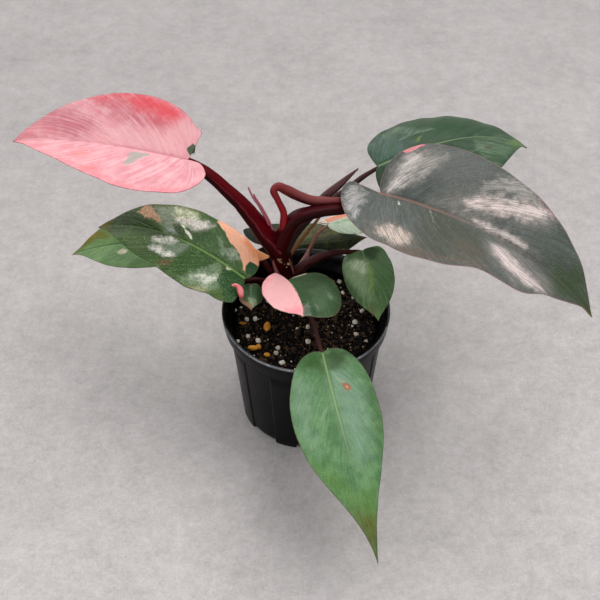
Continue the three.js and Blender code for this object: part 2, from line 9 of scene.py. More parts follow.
import bmesh
import bpy
import numpy as np
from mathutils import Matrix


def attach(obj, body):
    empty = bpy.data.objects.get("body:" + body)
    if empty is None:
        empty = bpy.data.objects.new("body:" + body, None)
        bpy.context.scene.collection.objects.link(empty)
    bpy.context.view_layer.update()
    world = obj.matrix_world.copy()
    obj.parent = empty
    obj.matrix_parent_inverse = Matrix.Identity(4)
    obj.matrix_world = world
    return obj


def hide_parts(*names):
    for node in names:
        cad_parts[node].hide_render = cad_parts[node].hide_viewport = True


MM = 0.001

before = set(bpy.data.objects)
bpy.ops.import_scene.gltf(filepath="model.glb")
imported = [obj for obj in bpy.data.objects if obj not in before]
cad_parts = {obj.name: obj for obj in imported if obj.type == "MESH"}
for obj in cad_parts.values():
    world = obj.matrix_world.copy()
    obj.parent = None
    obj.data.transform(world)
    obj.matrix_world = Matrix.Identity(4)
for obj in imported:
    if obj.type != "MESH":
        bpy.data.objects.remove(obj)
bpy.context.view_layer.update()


# ---------------------------------------------------------------- small helpers


def colour(code):
    """A linear colour from a six-digit sRGB code."""
    parts = [int(code[i : i + 2], 16) / 255 for i in (0, 2, 4)]
    return tuple(c / 12.92 if c < 0.04045 else ((c + 0.055) / 1.055) ** 2.4 for c in parts) + (1.0,)


def smooth(x, low, high):
    t = np.clip((np.asarray(x, float) - low) / (high - low), 0, 1)
    return t * t * (3 - 2 * t)


def unit(v):
    return v / np.maximum(np.linalg.norm(v, axis=-1, keepdims=True), 1e-9)


def bell(x, middle, width):
    return np.exp(-(((x - middle) / width) ** 2))


def lumps(x, y, size, seed):
    """Smooth seeded noise from -1 to 1 over a plane, with lumps of the given size."""
    cells = 64  # the pattern repeats after this many lumps
    table = np.random.RandomState(seed).uniform(-1, 1, (cells, cells))
    u, v = np.asarray(x, float) / size, np.asarray(y, float) / size
    i, j = np.floor(u).astype(int), np.floor(v).astype(int)
    s, t = smooth(u - i, 0, 1), smooth(v - j, 0, 1)
    corner = lambda a, b: table[a % cells, b % cells]
    low = corner(i, j) * (1 - s) + corner(i + 1, j) * s
    high = corner(i, j + 1) * (1 - s) + corner(i + 1, j + 1) * s
    return low * (1 - t) + high * t


# ---------------------------------------------------------------- the photograph's camera

PHOTO = 600  # pixels each way
LENS, SENSOR = 78.6, 36
CAMERA_PLACE = (-4.6, -682, 850.35)
CAMERA_TILT = 43  # degrees from straight down
AHEAD = np.array([0, math.sin(math.radians(CAMERA_TILT)), -math.cos(math.radians(CAMERA_TILT))])
ABOVE = np.array([0, math.cos(math.radians(CAMERA_TILT)), math.sin(math.radians(CAMERA_TILT))])
FOCAL = PHOTO * LENS / SENSOR


def photo_pixel(points):
    """Where points in space are in the photograph: pixels from the left and from the top."""
    off = points - np.array(CAMERA_PLACE)
    depth = off @ AHEAD
    return PHOTO / 2 + FOCAL * off[..., 0] / depth, PHOTO / 2 - FOCAL * (off @ ABOVE) / depth


def seen_at_height(x, y, height):
    """The place x, y in space, at a known height, of what the photograph shows at a pixel."""
    ray = AHEAD * FOCAL + ABOVE * (PHOTO / 2 - y) + np.array([x - PHOTO / 2, 0, 0])
    place = CAMERA_PLACE + ray * (height - CAMERA_PLACE[2]) / ray[2]
    return round(place[0], 1), round(place[1], 1)


# ---------------------------------------------------------------- meshes and materials


def make_piece(name, points, faces, materials, node, slot, vectors=None, numbers=None, merge=0.0):
    """A piece of the part from points in millimetres. vectors are attributes of its points."""
    mesh = bpy.data.meshes.new(name)
    mesh.from_pydata((np.asarray(points) * MM).tolist(), [], [list(map(int, f)) for f in faces])
    for key, values in (vectors or {}).items():
        layer = mesh.attributes.new(key, "FLOAT_VECTOR", "POINT")
        layer.data.foreach_set("vector", np.asarray(values, np.float32).ravel())
    for material in materials:
        mesh.materials.append(material)
    if numbers is not None:
        mesh.polygons.foreach_set("material_index", numbers)
    work = bmesh.new()
    work.from_mesh(mesh)
    if merge:
        bmesh.ops.remove_doubles(work, verts=work.verts, dist=merge * MM)
        bmesh.ops.dissolve_degenerate(work, edges=work.edges, dist=1e-3 * MM)
    bmesh.ops.recalc_face_normals(work, faces=work.faces)
    for face in work.faces:
        face.smooth = True
    work.to_mesh(mesh)
    work.free()
    piece = bpy.data.objects.new(name, mesh)
    bpy.context.scene.collection.objects.link(piece)
    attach(piece, "root")
    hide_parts(node)
    return piece


def closed_skin(rings, low_end, high_end):
    """Points and faces of a skin over rings of points, closed by a point at each end."""
    number = np.arange(len(rings) * len(rings[0])).reshape(len(rings), -1)
    beside = np.roll(number, -1, axis=1)
    quads = np.stack([number[:-1], beside[:-1], beside[1:], number[1:]], -1)
    faces = quads.reshape(-1, 4).tolist()
    faces += [[number.size, b, a] for a, b in zip(number[0], beside[0])]
    faces += [[number.size + 1, a, b] for a, b in zip(number[-1], beside[-1])]
    return np.vstack([*rings, [low_end], [high_end]]), faces


def join(parts):
    """One set of points, faces and attributes from several."""
    points, faces, extra = zip(*parts)
    starts = np.cumsum([0] + [len(p) for p in points])
    shifted = [[i + start for i in face] for start, some in zip(starts, faces) for face in some]
    return np.vstack(points), shifted, np.vstack(extra)


class Shader:
    """A material's nodes with short calls. Every value is a number, a tuple or a socket."""

    def __init__(self, name):
        self.material = bpy.data.materials.new(name)
        self.material.use_nodes = True
        self.tree = self.material.node_tree
        self.surface = self.tree.nodes["Principled BSDF"]

    def put(self, socket, value):
        if isinstance(value, bpy.types.NodeSocket):
            self.tree.links.new(value, socket)
        else:
            socket.default_value = value

    def set(self, **values):
        for key, value in values.items():
            self.put(self.surface.inputs[key.replace("_", " ")], value)

    def node(self, kind, inputs, output=0, **settings):
        """A new node's output. inputs and output go by a socket's name or number."""
        node = self.tree.nodes.new("ShaderNode" + kind)
        for key, value in settings.items():
            setattr(node, key, value)
        for key, value in inputs.items():
            self.put(node.inputs[key], value)
        return node.outputs[output]

    def math(self, operation, a, b=0.0, clamp=False):
        return self.node("Math", {0: a, 1: b}, operation=operation, use_clamp=clamp)

    def add(self, a, b):
        return self.math("ADD", a, b)

    def times(self, a, b):
        return self.math("MULTIPLY", a, b)

    def divide(self, a, b):
        return self.math("DIVIDE", a, b)

    def fraction(self, value, period):
        """How far a value is through its period, from 0 to 1."""
        return self.math("FRACT", self.divide(value, period))

    def blend(self, a, share_a, b, share_b):
        return self.add(self.times(a, share_a), self.times(b, share_b))

    def sway(self, noise, reach):
        """Noise about zero, times a reach."""
        return self.times(self.add(noise, -0.5), reach)

    def off(self, value, middle):
        """The distance of a value from a middle."""
        return self.math("ABSOLUTE", self.add(value, -middle))

    def step(self, value, low, high, start=0.0, end=1.0):
        inputs = dict(enumerate((value, low, high, start, end)))
        return self.node("MapRange", inputs, interpolation_type="SMOOTHSTEP")

    def mix(self, share, a, b):
        return self.node("Mix", {0: share, 6: a, 7: b}, output=2, data_type="RGBA")

    def paint(self, skin, share, code):
        """The skin with a share of another colour over it."""
        return self.mix(share, skin, colour(code))

    def two_tone(self, value, low, high, codes):
        return self.mix(self.step(value, low, high), colour(codes[0]), colour(codes[1]))

    def scale(self, vector, factor):
        """A vector times a factor: a place closer or farther, a colour darker or lighter."""
        vector = vector[:3] if isinstance(vector, tuple) else vector
        return self.node("VectorMath", {0: vector, "Scale": factor}, operation="SCALE")

    def vector(self, x, y, z):
        return self.node("CombineXYZ", {0: x, 1: y, 2: z})

    def parts(self, vector):
        first = self.node("SeparateXYZ", {0: vector})
        return tuple(first.node.outputs)

    def attribute(self, name):
        return self.parts(self.node("Attribute", {}, output="Vector", attribute_name=name))

    def place(self):
        """The piece's own coordinates in millimetres."""
        return self.scale(self.node("TexCoord", {}, output="Object"), 1 / MM)

    def noise(self, vector, scale, detail, roughness, distortion=0.0):
        values = dict(Vector=vector, Scale=scale, Detail=detail, Roughness=roughness, Distortion=distortion)
        return self.node("TexNoise", values)

    def bump(self, height, distance_mm, strength=1.0):
        return self.node("Bump", dict(Height=height, Distance=distance_mm * MM, Strength=strength))


# ---------------------------------------------------------------- leaf shapes

VEIN_START = 1.7  # the place on a margin, from 0 to 3, where the veins from the midrib start


def half(lobe_back, lobe_out, widest_at, half_width, shoulder, tip_reach, tip_angle, waves=()):
    return lobe_back, lobe_out, widest_at, half_width, shoulder, tip_reach, tip_angle, waves


# base, length, heading, turn, pitch, droop, roll, twist, fold, cup, keel, left and right halves,
# and here also the spacing of the side veins and how much the blade ripples
LEAVES = {
    "pink_leaf": dict(
        base=(-88, 60, 208), length=145, heading=170, turn=-9, pitch=8, droop=-30, roll=-22, twist=-1,
        fold=22, cup=0.14, keel=2.2, veins=8.5, ripple=0.5,
        left=half(16, 12.5, 32, 41.7, 0.3, 0.13, 8, ((0.35, 1.8, 0.25), (1.47, 1.5, 0.15))),
        right=half(0.8, 20.5, 40.7, 42.3, 0.49, 0.01, 9, ((0.42, -4, 0.22), (1.02, 5, 0.09))),
    ),
    "marbled_leaf": dict(
        base=(-47, 12, 130), length=135, heading=151, turn=8, pitch=25, droop=-56, roll=-1, twist=-12,
        fold=11, cup=0.58, keel=2, veins=8.5, ripple=0.45,
        left=half(4.6, 23, 39, 34.2, 0.56, 0.25, 19, ((1.62, -1.5, 0.1), (1.92, 1.3, 0.1), (2.2, -1.8, 0.1))),
        right=half(3.6, 9, 45.4, 33.8, 0.6, 0.28, 19, ((1.5, 4.5, 0.3),)),
    ),
    "under_leaf": dict(
        base=(-104, 68, 113), length=91, heading=176, turn=-2, pitch=1, droop=-33, roll=-14, twist=-5,
        fold=10, cup=0.14, keel=1.4, veins=7, ripple=0.3,
        left=half(10.8, 13.4, 27.6, 25.4, 0.55, 0.33, 15),
        right=half(10.9, 13.4, 28.3, 25.5, 0.56, 0.32, 16),
    ),
    "large_leaf": dict(
        base=(56, 48, 185), length=191, heading=-29, turn=6, pitch=8, droop=-58, roll=13, twist=-5,
        fold=22, cup=0.3, keel=2.6, veins=10, ripple=0.8,
        left=half(3.9, 17.9, 41.6, 54.6, 0.6, 0.1, 15.5),
        right=half(28.6, -2.4, 36.7, 54.8, 0.53, 0.16, 12.8,
                   ((0.6, 2.6, 0.25), (1.1, 1.6, 0.12), (2.05, 1.8, 0.07), (2.27, -4.5, 0.07),
                    (2.45, 5, 0.08), (2.82, -2, 0.08))),
    ),
    "back_leaf": dict(
        base=(56, 90, 175), length=142, heading=17, turn=7, pitch=19, droop=-64, roll=9, twist=-6,
        fold=5, cup=0.89, keel=2, veins=9, ripple=0.6,
        left=half(2, 16.7, 42.5, 43.3, 0.57, 0.32, 16),
        right=half(6.2, 18, 44.5, 43.4, 0.58, 0.33, 16),
    ),
    "hanging_leaf": dict(
        base=(12, -53, 119), length=163, heading=-80, turn=12, pitch=-5, droop=-47, roll=5, twist=-4,
        fold=-2, cup=0.82, keel=2.2, veins=9, ripple=0.4,
        left=half(3.9, 15.3, 46.5, 32.2, 0.44, 0.37, 9, ((1.15, -2.4, 0.35), (2.5, -2.2, 0.3))),
        right=half(2.6, 8, 47.8, 32.5, 0.46, 0.41, 4),
    ),
    "half_pink_leaf": dict(
        base=(-13.5, 6.5, 133.5), length=52, heading=-62, turn=-31, pitch=16.5, droop=-5.5, roll=-4,
        twist=-1, fold=-2, cup=0.03, keel=1.2, veins=6, ripple=0.2,
        left=half(3.5, 17, 14, 32, 1.3, 0.25, 40),
        right=half(16.5, 3.5, 14, 25, 1.12, 0.25, 34),
    ),
    "side_leaf": dict(
        base=(44, 42, 130), length=66, heading=-80, turn=-1, pitch=5, droop=-37, roll=10, twist=-2,
        fold=0, cup=0.46, keel=1.2, veins=6, ripple=0.3,
        left=half(2.9, 12.5, 19.9, 19.3, 0.68, 0.19, 20),
        right=half(2.6, 12.7, 19.9, 19.5, 0.68, 0.23, 19),
    ),
    "shaded_leaf": dict(
        base=(18, 56, 146), length=62, heading=30, turn=0, pitch=-4, droop=-26, roll=-17, twist=4,
        fold=5, cup=0.75, keel=1.1, veins=6, ripple=0.2,
        left=half(4.6, 7, 17.4, 18.7, 0.55, 0.35, 14),
        right=half(3.4, 6, 16.8, 18.8, 0.55, 0.35, 14),
    ),
    "tiny_leaf": dict(
        base=(-42, 9, 126), length=24, heading=-89, turn=1, pitch=1, droop=-20, roll=1, twist=-3,
        fold=-5, cup=0.71, keel=0.6, veins=4, ripple=0.1,
        left=half(2.1, 3.9, 7.9, 9, 0.61, 0.28, 17),
        right=half(2, 3.9, 8, 9, 0.61, 0.28, 17),
    ),
    "old_leaf": dict(
        base=(-32, 77, 101), length=84, heading=8, turn=3, pitch=-4, droop=3, roll=36, twist=-3,
        fold=-11, cup=0.95, keel=1.3, veins=7, ripple=0.5,
        left=half(17.4, 14.4, 21.8, 20.9, 0.52, 0.3, 20),
        right=half(15.3, 13.8, 23, 21.4, 0.54, 0.31, 19),
    ),
}


def bezier(p, t):
    """Points of a cubic curve, and the directions that it runs in."""
    point = (1 - t) ** 3 * p[0] + 3 * (1 - t) ** 2 * t * p[1] + 3 * (1 - t) * t**2 * p[2] + t**3 * p[3]
    slope = 3 * (1 - t) ** 2 * (p[1] - p[0]) + 6 * (1 - t) * t * (p[2] - p[1]) + 3 * t**2 * (p[3] - p[2])
    return point, unit(slope)


def half_outline(leaf, shape, columns):
    """Place from 0 to 3, and [along, out], of points round a half's margin."""
    lobe_back, lobe_out, widest_at, half_width, shoulder, tip_reach, tip_angle, waves = shape
    length = leaf["length"]
    ahead = length - widest_at
    taper = tip_reach * ahead
    angle = math.radians(tip_angle)
    lobe, widest = (-lobe_back, lobe_out), (widest_at, half_width)
    stretches = [
        [(0, 0), (-0.55 * lobe_back, 0.12 * lobe_out), (-lobe_back, 0.5 * lobe_out), lobe],
        [lobe, (-lobe_back, lobe_out + 0.55 * (half_width - lobe_out)),
         (0.5 * (widest_at - lobe_back), half_width), widest],
        [widest, (widest_at + shoulder * ahead, half_width),
         (length - taper * math.cos(angle), taper * math.sin(angle)), (length, 0)],
    ]
    places, points = [], []
    for s, controls in enumerate(stretches):
        t = np.linspace(0, 1, columns[s] + 1)[0 if s == 0 else 1 :, None]
        point, tangent = bezier(np.array(controls, float), t)
        place = s + t[:, 0]
        push = np.zeros(len(place))
        for at, out, reach in waves:
            push += out * bell(place, at, reach)
        push *= np.minimum(1, np.minimum(4 * place, 8 * (3 - place)))
        point += push[:, None] * np.stack([-tangent[:, 1], tangent[:, 0]], -1)
        places.append(place)
        points.append(point)
    places, points = np.concatenate(places), np.concatenate(points)
    # the lobe is a fan about the junction, so its points turn one way round it
    least = 0.002
    fan = int(np.sum(places <= VEIN_START))
    for i in range(fan - 2, 0, -1):
        limit = math.atan2(points[i + 1, 1], -points[i + 1, 0]) - least
        if math.atan2(points[i, 1], -points[i, 0]) > limit:
            reach = math.hypot(*points[i])
            points[i] = (-reach * math.cos(limit), reach * math.sin(limit))
    return places, points


class Midrib:
    """The midrib's centre line and the blade's frame along it."""

    def __init__(self, leaf, steps=240):
        self.leaf = leaf
        middle = (np.arange(steps) + 0.5) / steps
        moves = self.direction(middle) * leaf["length"] / steps
        self.line = np.vstack([leaf["base"], leaf["base"] + np.cumsum(moves, axis=0)])
        self.at = np.linspace(0, 1, steps + 1)

    def direction(self, q):
        heading = np.radians(self.leaf["heading"] + self.leaf["turn"] * q)
        pitch = np.radians(self.leaf["pitch"] + self.leaf["droop"] * np.maximum(q, 0) ** 1.3)
        return np.stack([np.cos(pitch) * np.cos(heading), np.cos(pitch) * np.sin(heading), np.sin(pitch)], -1)

    def centre(self, q):
        inside = np.stack([np.interp(q, self.at, self.line[:, k]) for k in range(3)], -1)
        return inside + self.direction(0.0) * (np.minimum(q, 0) * self.leaf["length"])[..., None]

    def frame(self, q):
        along = np.clip(q, 0, 1)
        heading = np.radians(self.leaf["heading"] + self.leaf["turn"] * along)
        bank = np.radians(self.leaf["roll"] + self.leaf["twist"] * along)[..., None]
        level = np.stack([-np.sin(heading), np.cos(heading), np.zeros_like(heading)], -1)
        rise = np.cross(self.direction(along), level)
        return level * np.cos(bank) + rise * np.sin(bank), -level * np.sin(bank) + rise * np.cos(bank)


def blade_point(leaf, midrib, along, out, hand):
    """The place in space of points of the flat blade, on its left (hand 1) or right half."""
    crease = 1.2  # the fold turns over this width
    side, up = midrib.frame(along / leaf["length"])
    fold = math.radians(leaf["fold"])
    eased = np.sqrt(out**2 + crease**2) - crease
    lift = eased * math.sin(fold) - leaf["cup"] * out**2 / (0.6 * leaf["length"])
    point = midrib.centre(along / leaf["length"]) + side * (hand * out * math.cos(fold))[..., None]
    return point + up * lift[..., None]


class Tracing:
    """Finds on the flat blade what was drawn over an enlarged crop of the photograph."""

    step = 0.25

    def __init__(self, leaf, left, top, zoom, along, out, sheet=(0, 0), finest=1.0):
        self.finest = finest
        places = np.arange(*along, self.step), np.arange(*out, self.step)
        self.along, self.out = np.meshgrid(*places, indexing="ij")
        hand = np.where(self.out >= 0, 1, -1)
        x, y = photo_pixel(blade_point(leaf, Midrib(leaf), self.along, np.abs(self.out), hand))
        self.x = (x - left) * zoom + sheet[0]
        self.y = (y - top) * zoom + sheet[1]

    def corners(self, drawn):
        """Each drawn corner's nearest place on the blade, to the finest step that matters."""
        found = []
        for corner in drawn.split():
            x, y = map(float, corner.split(","))
            nearest = np.argmin((self.x - x) ** 2 + (self.y - y) ** 2)
            place = self.along.flat[nearest], self.out.flat[nearest]
            found.append([round(p / self.finest) * self.finest for p in place])
        return found


def flat_patches(leaf, look):
    """The corners of a look's patches on the flat blade."""
    tracing = Tracing(leaf, **look["crop"]) if "crop" in look else None
    shapes = [patch[-1] for patch in look["patches"].values()]
    return [tracing.corners(shape) if isinstance(shape, str) else shape for shape in shapes]


def signed_distance(points, polygon):
    """Distance of flat points to a polygon's edge, negative inside it."""
    corners = np.asarray(polygon, float)
    best = np.full(len(points), np.inf)
    inside = np.zeros(len(points), bool)
    for a, b in zip(corners, np.roll(corners, -1, axis=0)):
        edge = b - a
        t = np.clip(((points - a) @ edge) / max(edge @ edge, 1e-9), 0, 1)
        best = np.minimum(best, np.linalg.norm(points - a - t[:, None] * edge, axis=1))
        if a[1] != b[1]:
            crosses = (a[1] > points[:, 1]) != (b[1] > points[:, 1])
            inside ^= crosses & (points[:, 0] < a[0] + (points[:, 1] - a[1]) * edge[0] / edge[1])
    return np.where(inside, -best, best)


BLADE = 0.6  # thickness
FULL_LEAF = 130  # a leaf at least this long has the full relief and the finest mesh
COLUMNS, ROWS = (22, 40, 100), 26  # faces along the three stretches of a margin, and out to it


def blade(name, leaf, look, material, node, slot):
    """A leaf's blade: two faces over one grid, joined round the margin, with its veins in relief."""
    midrib = Midrib(leaf)
    length = leaf["length"]
    grow = min(1, max(0.45, length / FULL_LEAF))
    t = np.linspace(0, 1, round(ROWS * grow) + 1)
    r = t - 0.125 * np.sin(2 * math.pi * t)
    points, flats, veins, faces, outlines = [], [], [], [], []
    for hand, shape in ((1, leaf["left"]), (-1, leaf["right"])):
        place, margin = half_outline(leaf, shape, [round(count * grow) for count in COLUMNS])
        outlines.append(margin * (1, hand))
        arc = np.concatenate([[0], np.cumsum(np.linalg.norm(np.diff(margin, axis=0), axis=1))])
        root = length * np.clip((place - VEIN_START) / (3 - VEIN_START), 0, 1) ** 1.7
        along = root[:, None] * (1 - r) + margin[:, :1] * r
        out = margin[:, 1:] * r
        reach = np.hypot(margin[:, 0] - root, margin[:, 1])[:, None] * r
        vein = arc[:, None] - 0.1 * length * r**2

        step = 0.4
        spot = lambda a, o: blade_point(leaf, midrib, a, o, hand)
        lengthways = spot(along + step, out) - spot(along - step, out)
        sideways = spot(along, out + step) - spot(along, out - step)
        normal = unit(np.cross(lengthways, sideways) * hand)
        up = midrib.frame(along / length)[1]
        share = smooth(out, 0.0, 2.0)[..., None]
        normal = unit(up * (1 - share) + normal * share)

        middle = np.clip(4 * r * (1 - r), 0, 1) ** 0.6 * smooth(reach, 0, 14)
        wave = np.cos(2 * math.pi * vein / leaf["veins"])
        relief = -0.16 * middle * np.maximum(wave, 0) ** 6 * grow
        long_wave = np.sin(2 * math.pi * arc / (0.27 * length) + 1.7 * hand)
        short_wave = np.sin(2 * math.pi * arc / (0.15 * length) + 0.6)
        ripple = (0.6 * long_wave + 0.4 * short_wave) * smooth(np.minimum(arc, arc[-1] - arc), 0, 12)
        relief += leaf["ripple"] * smooth(r, 0.25, 1) * ripple[:, None]
        relief += 0.5 * leaf["ripple"] * lumps(along + 300, hand * out + 300, 0.12 * length, 5)
        fade = smooth(along, -1, 5) * (1 - 0.7 * np.clip(along / length, 0, 1))
        groove = 0.35 * grow * fade * bell(out, 0, 1.5 * grow)
        keel = (leaf["keel"] - 0.3) * fade * bell(out, 0, 1.9 * grow)
        edge = np.where(r > 0.999, 0.12, 0)  # a rounder margin
        surface = spot(along, out) + normal * relief[..., None]
        top = surface + normal * (BLADE / 2 - groove - edge)[..., None]
        low = surface - normal * (BLADE / 2 + keel - edge)[..., None]

        signed = np.stack([along, hand * out], -1)
        grids = []
        for face, layer in ((1, top), (0, low)):
            start = sum(len(p) for p in points)
            number = start + np.arange(along.size).reshape(along.shape)
            quads = np.stack([number[1:-1, :-1], number[2:, :-1], number[2:, 1:], number[1:-1, 1:]], -1)
            faces += quads.reshape(-1, 4).tolist()
            points.append(layer.reshape(-1, 3))
            flats.append(signed.reshape(-1, 2))
            veins.append(np.stack([vein, reach, np.full_like(vein, face)], -1).reshape(-1, 3))
            grids.append(number)
        over, wall = (np.concatenate([number[1, :], number[2:, -1]]) for number in grids)
        faces += np.stack([wall[:-1], wall[1:], over[1:], over[:-1]], -1).tolist()

    flat = np.concatenate(flats)
    edge = np.abs(signed_distance(flat, np.vstack([outlines[0], outlines[1][::-1]])))
    vectors = {"flat": np.column_stack([flat, edge]), "vein": np.concatenate(veins)}
    zones = [signed_distance(flat, corners) for corners in flat_patches(leaf, look)]
    for group in range(0, len(zones), 3):
        some = zones[group : group + 3] + [np.zeros(len(flat))] * 3
        vectors[f"zones{group // 3}"] = np.column_stack(some[:3])
    make_piece(name, np.concatenate(points), faces, [material], node, slot, vectors, merge=2e-3)


# ---------------------------------------------------------------- leaf colours

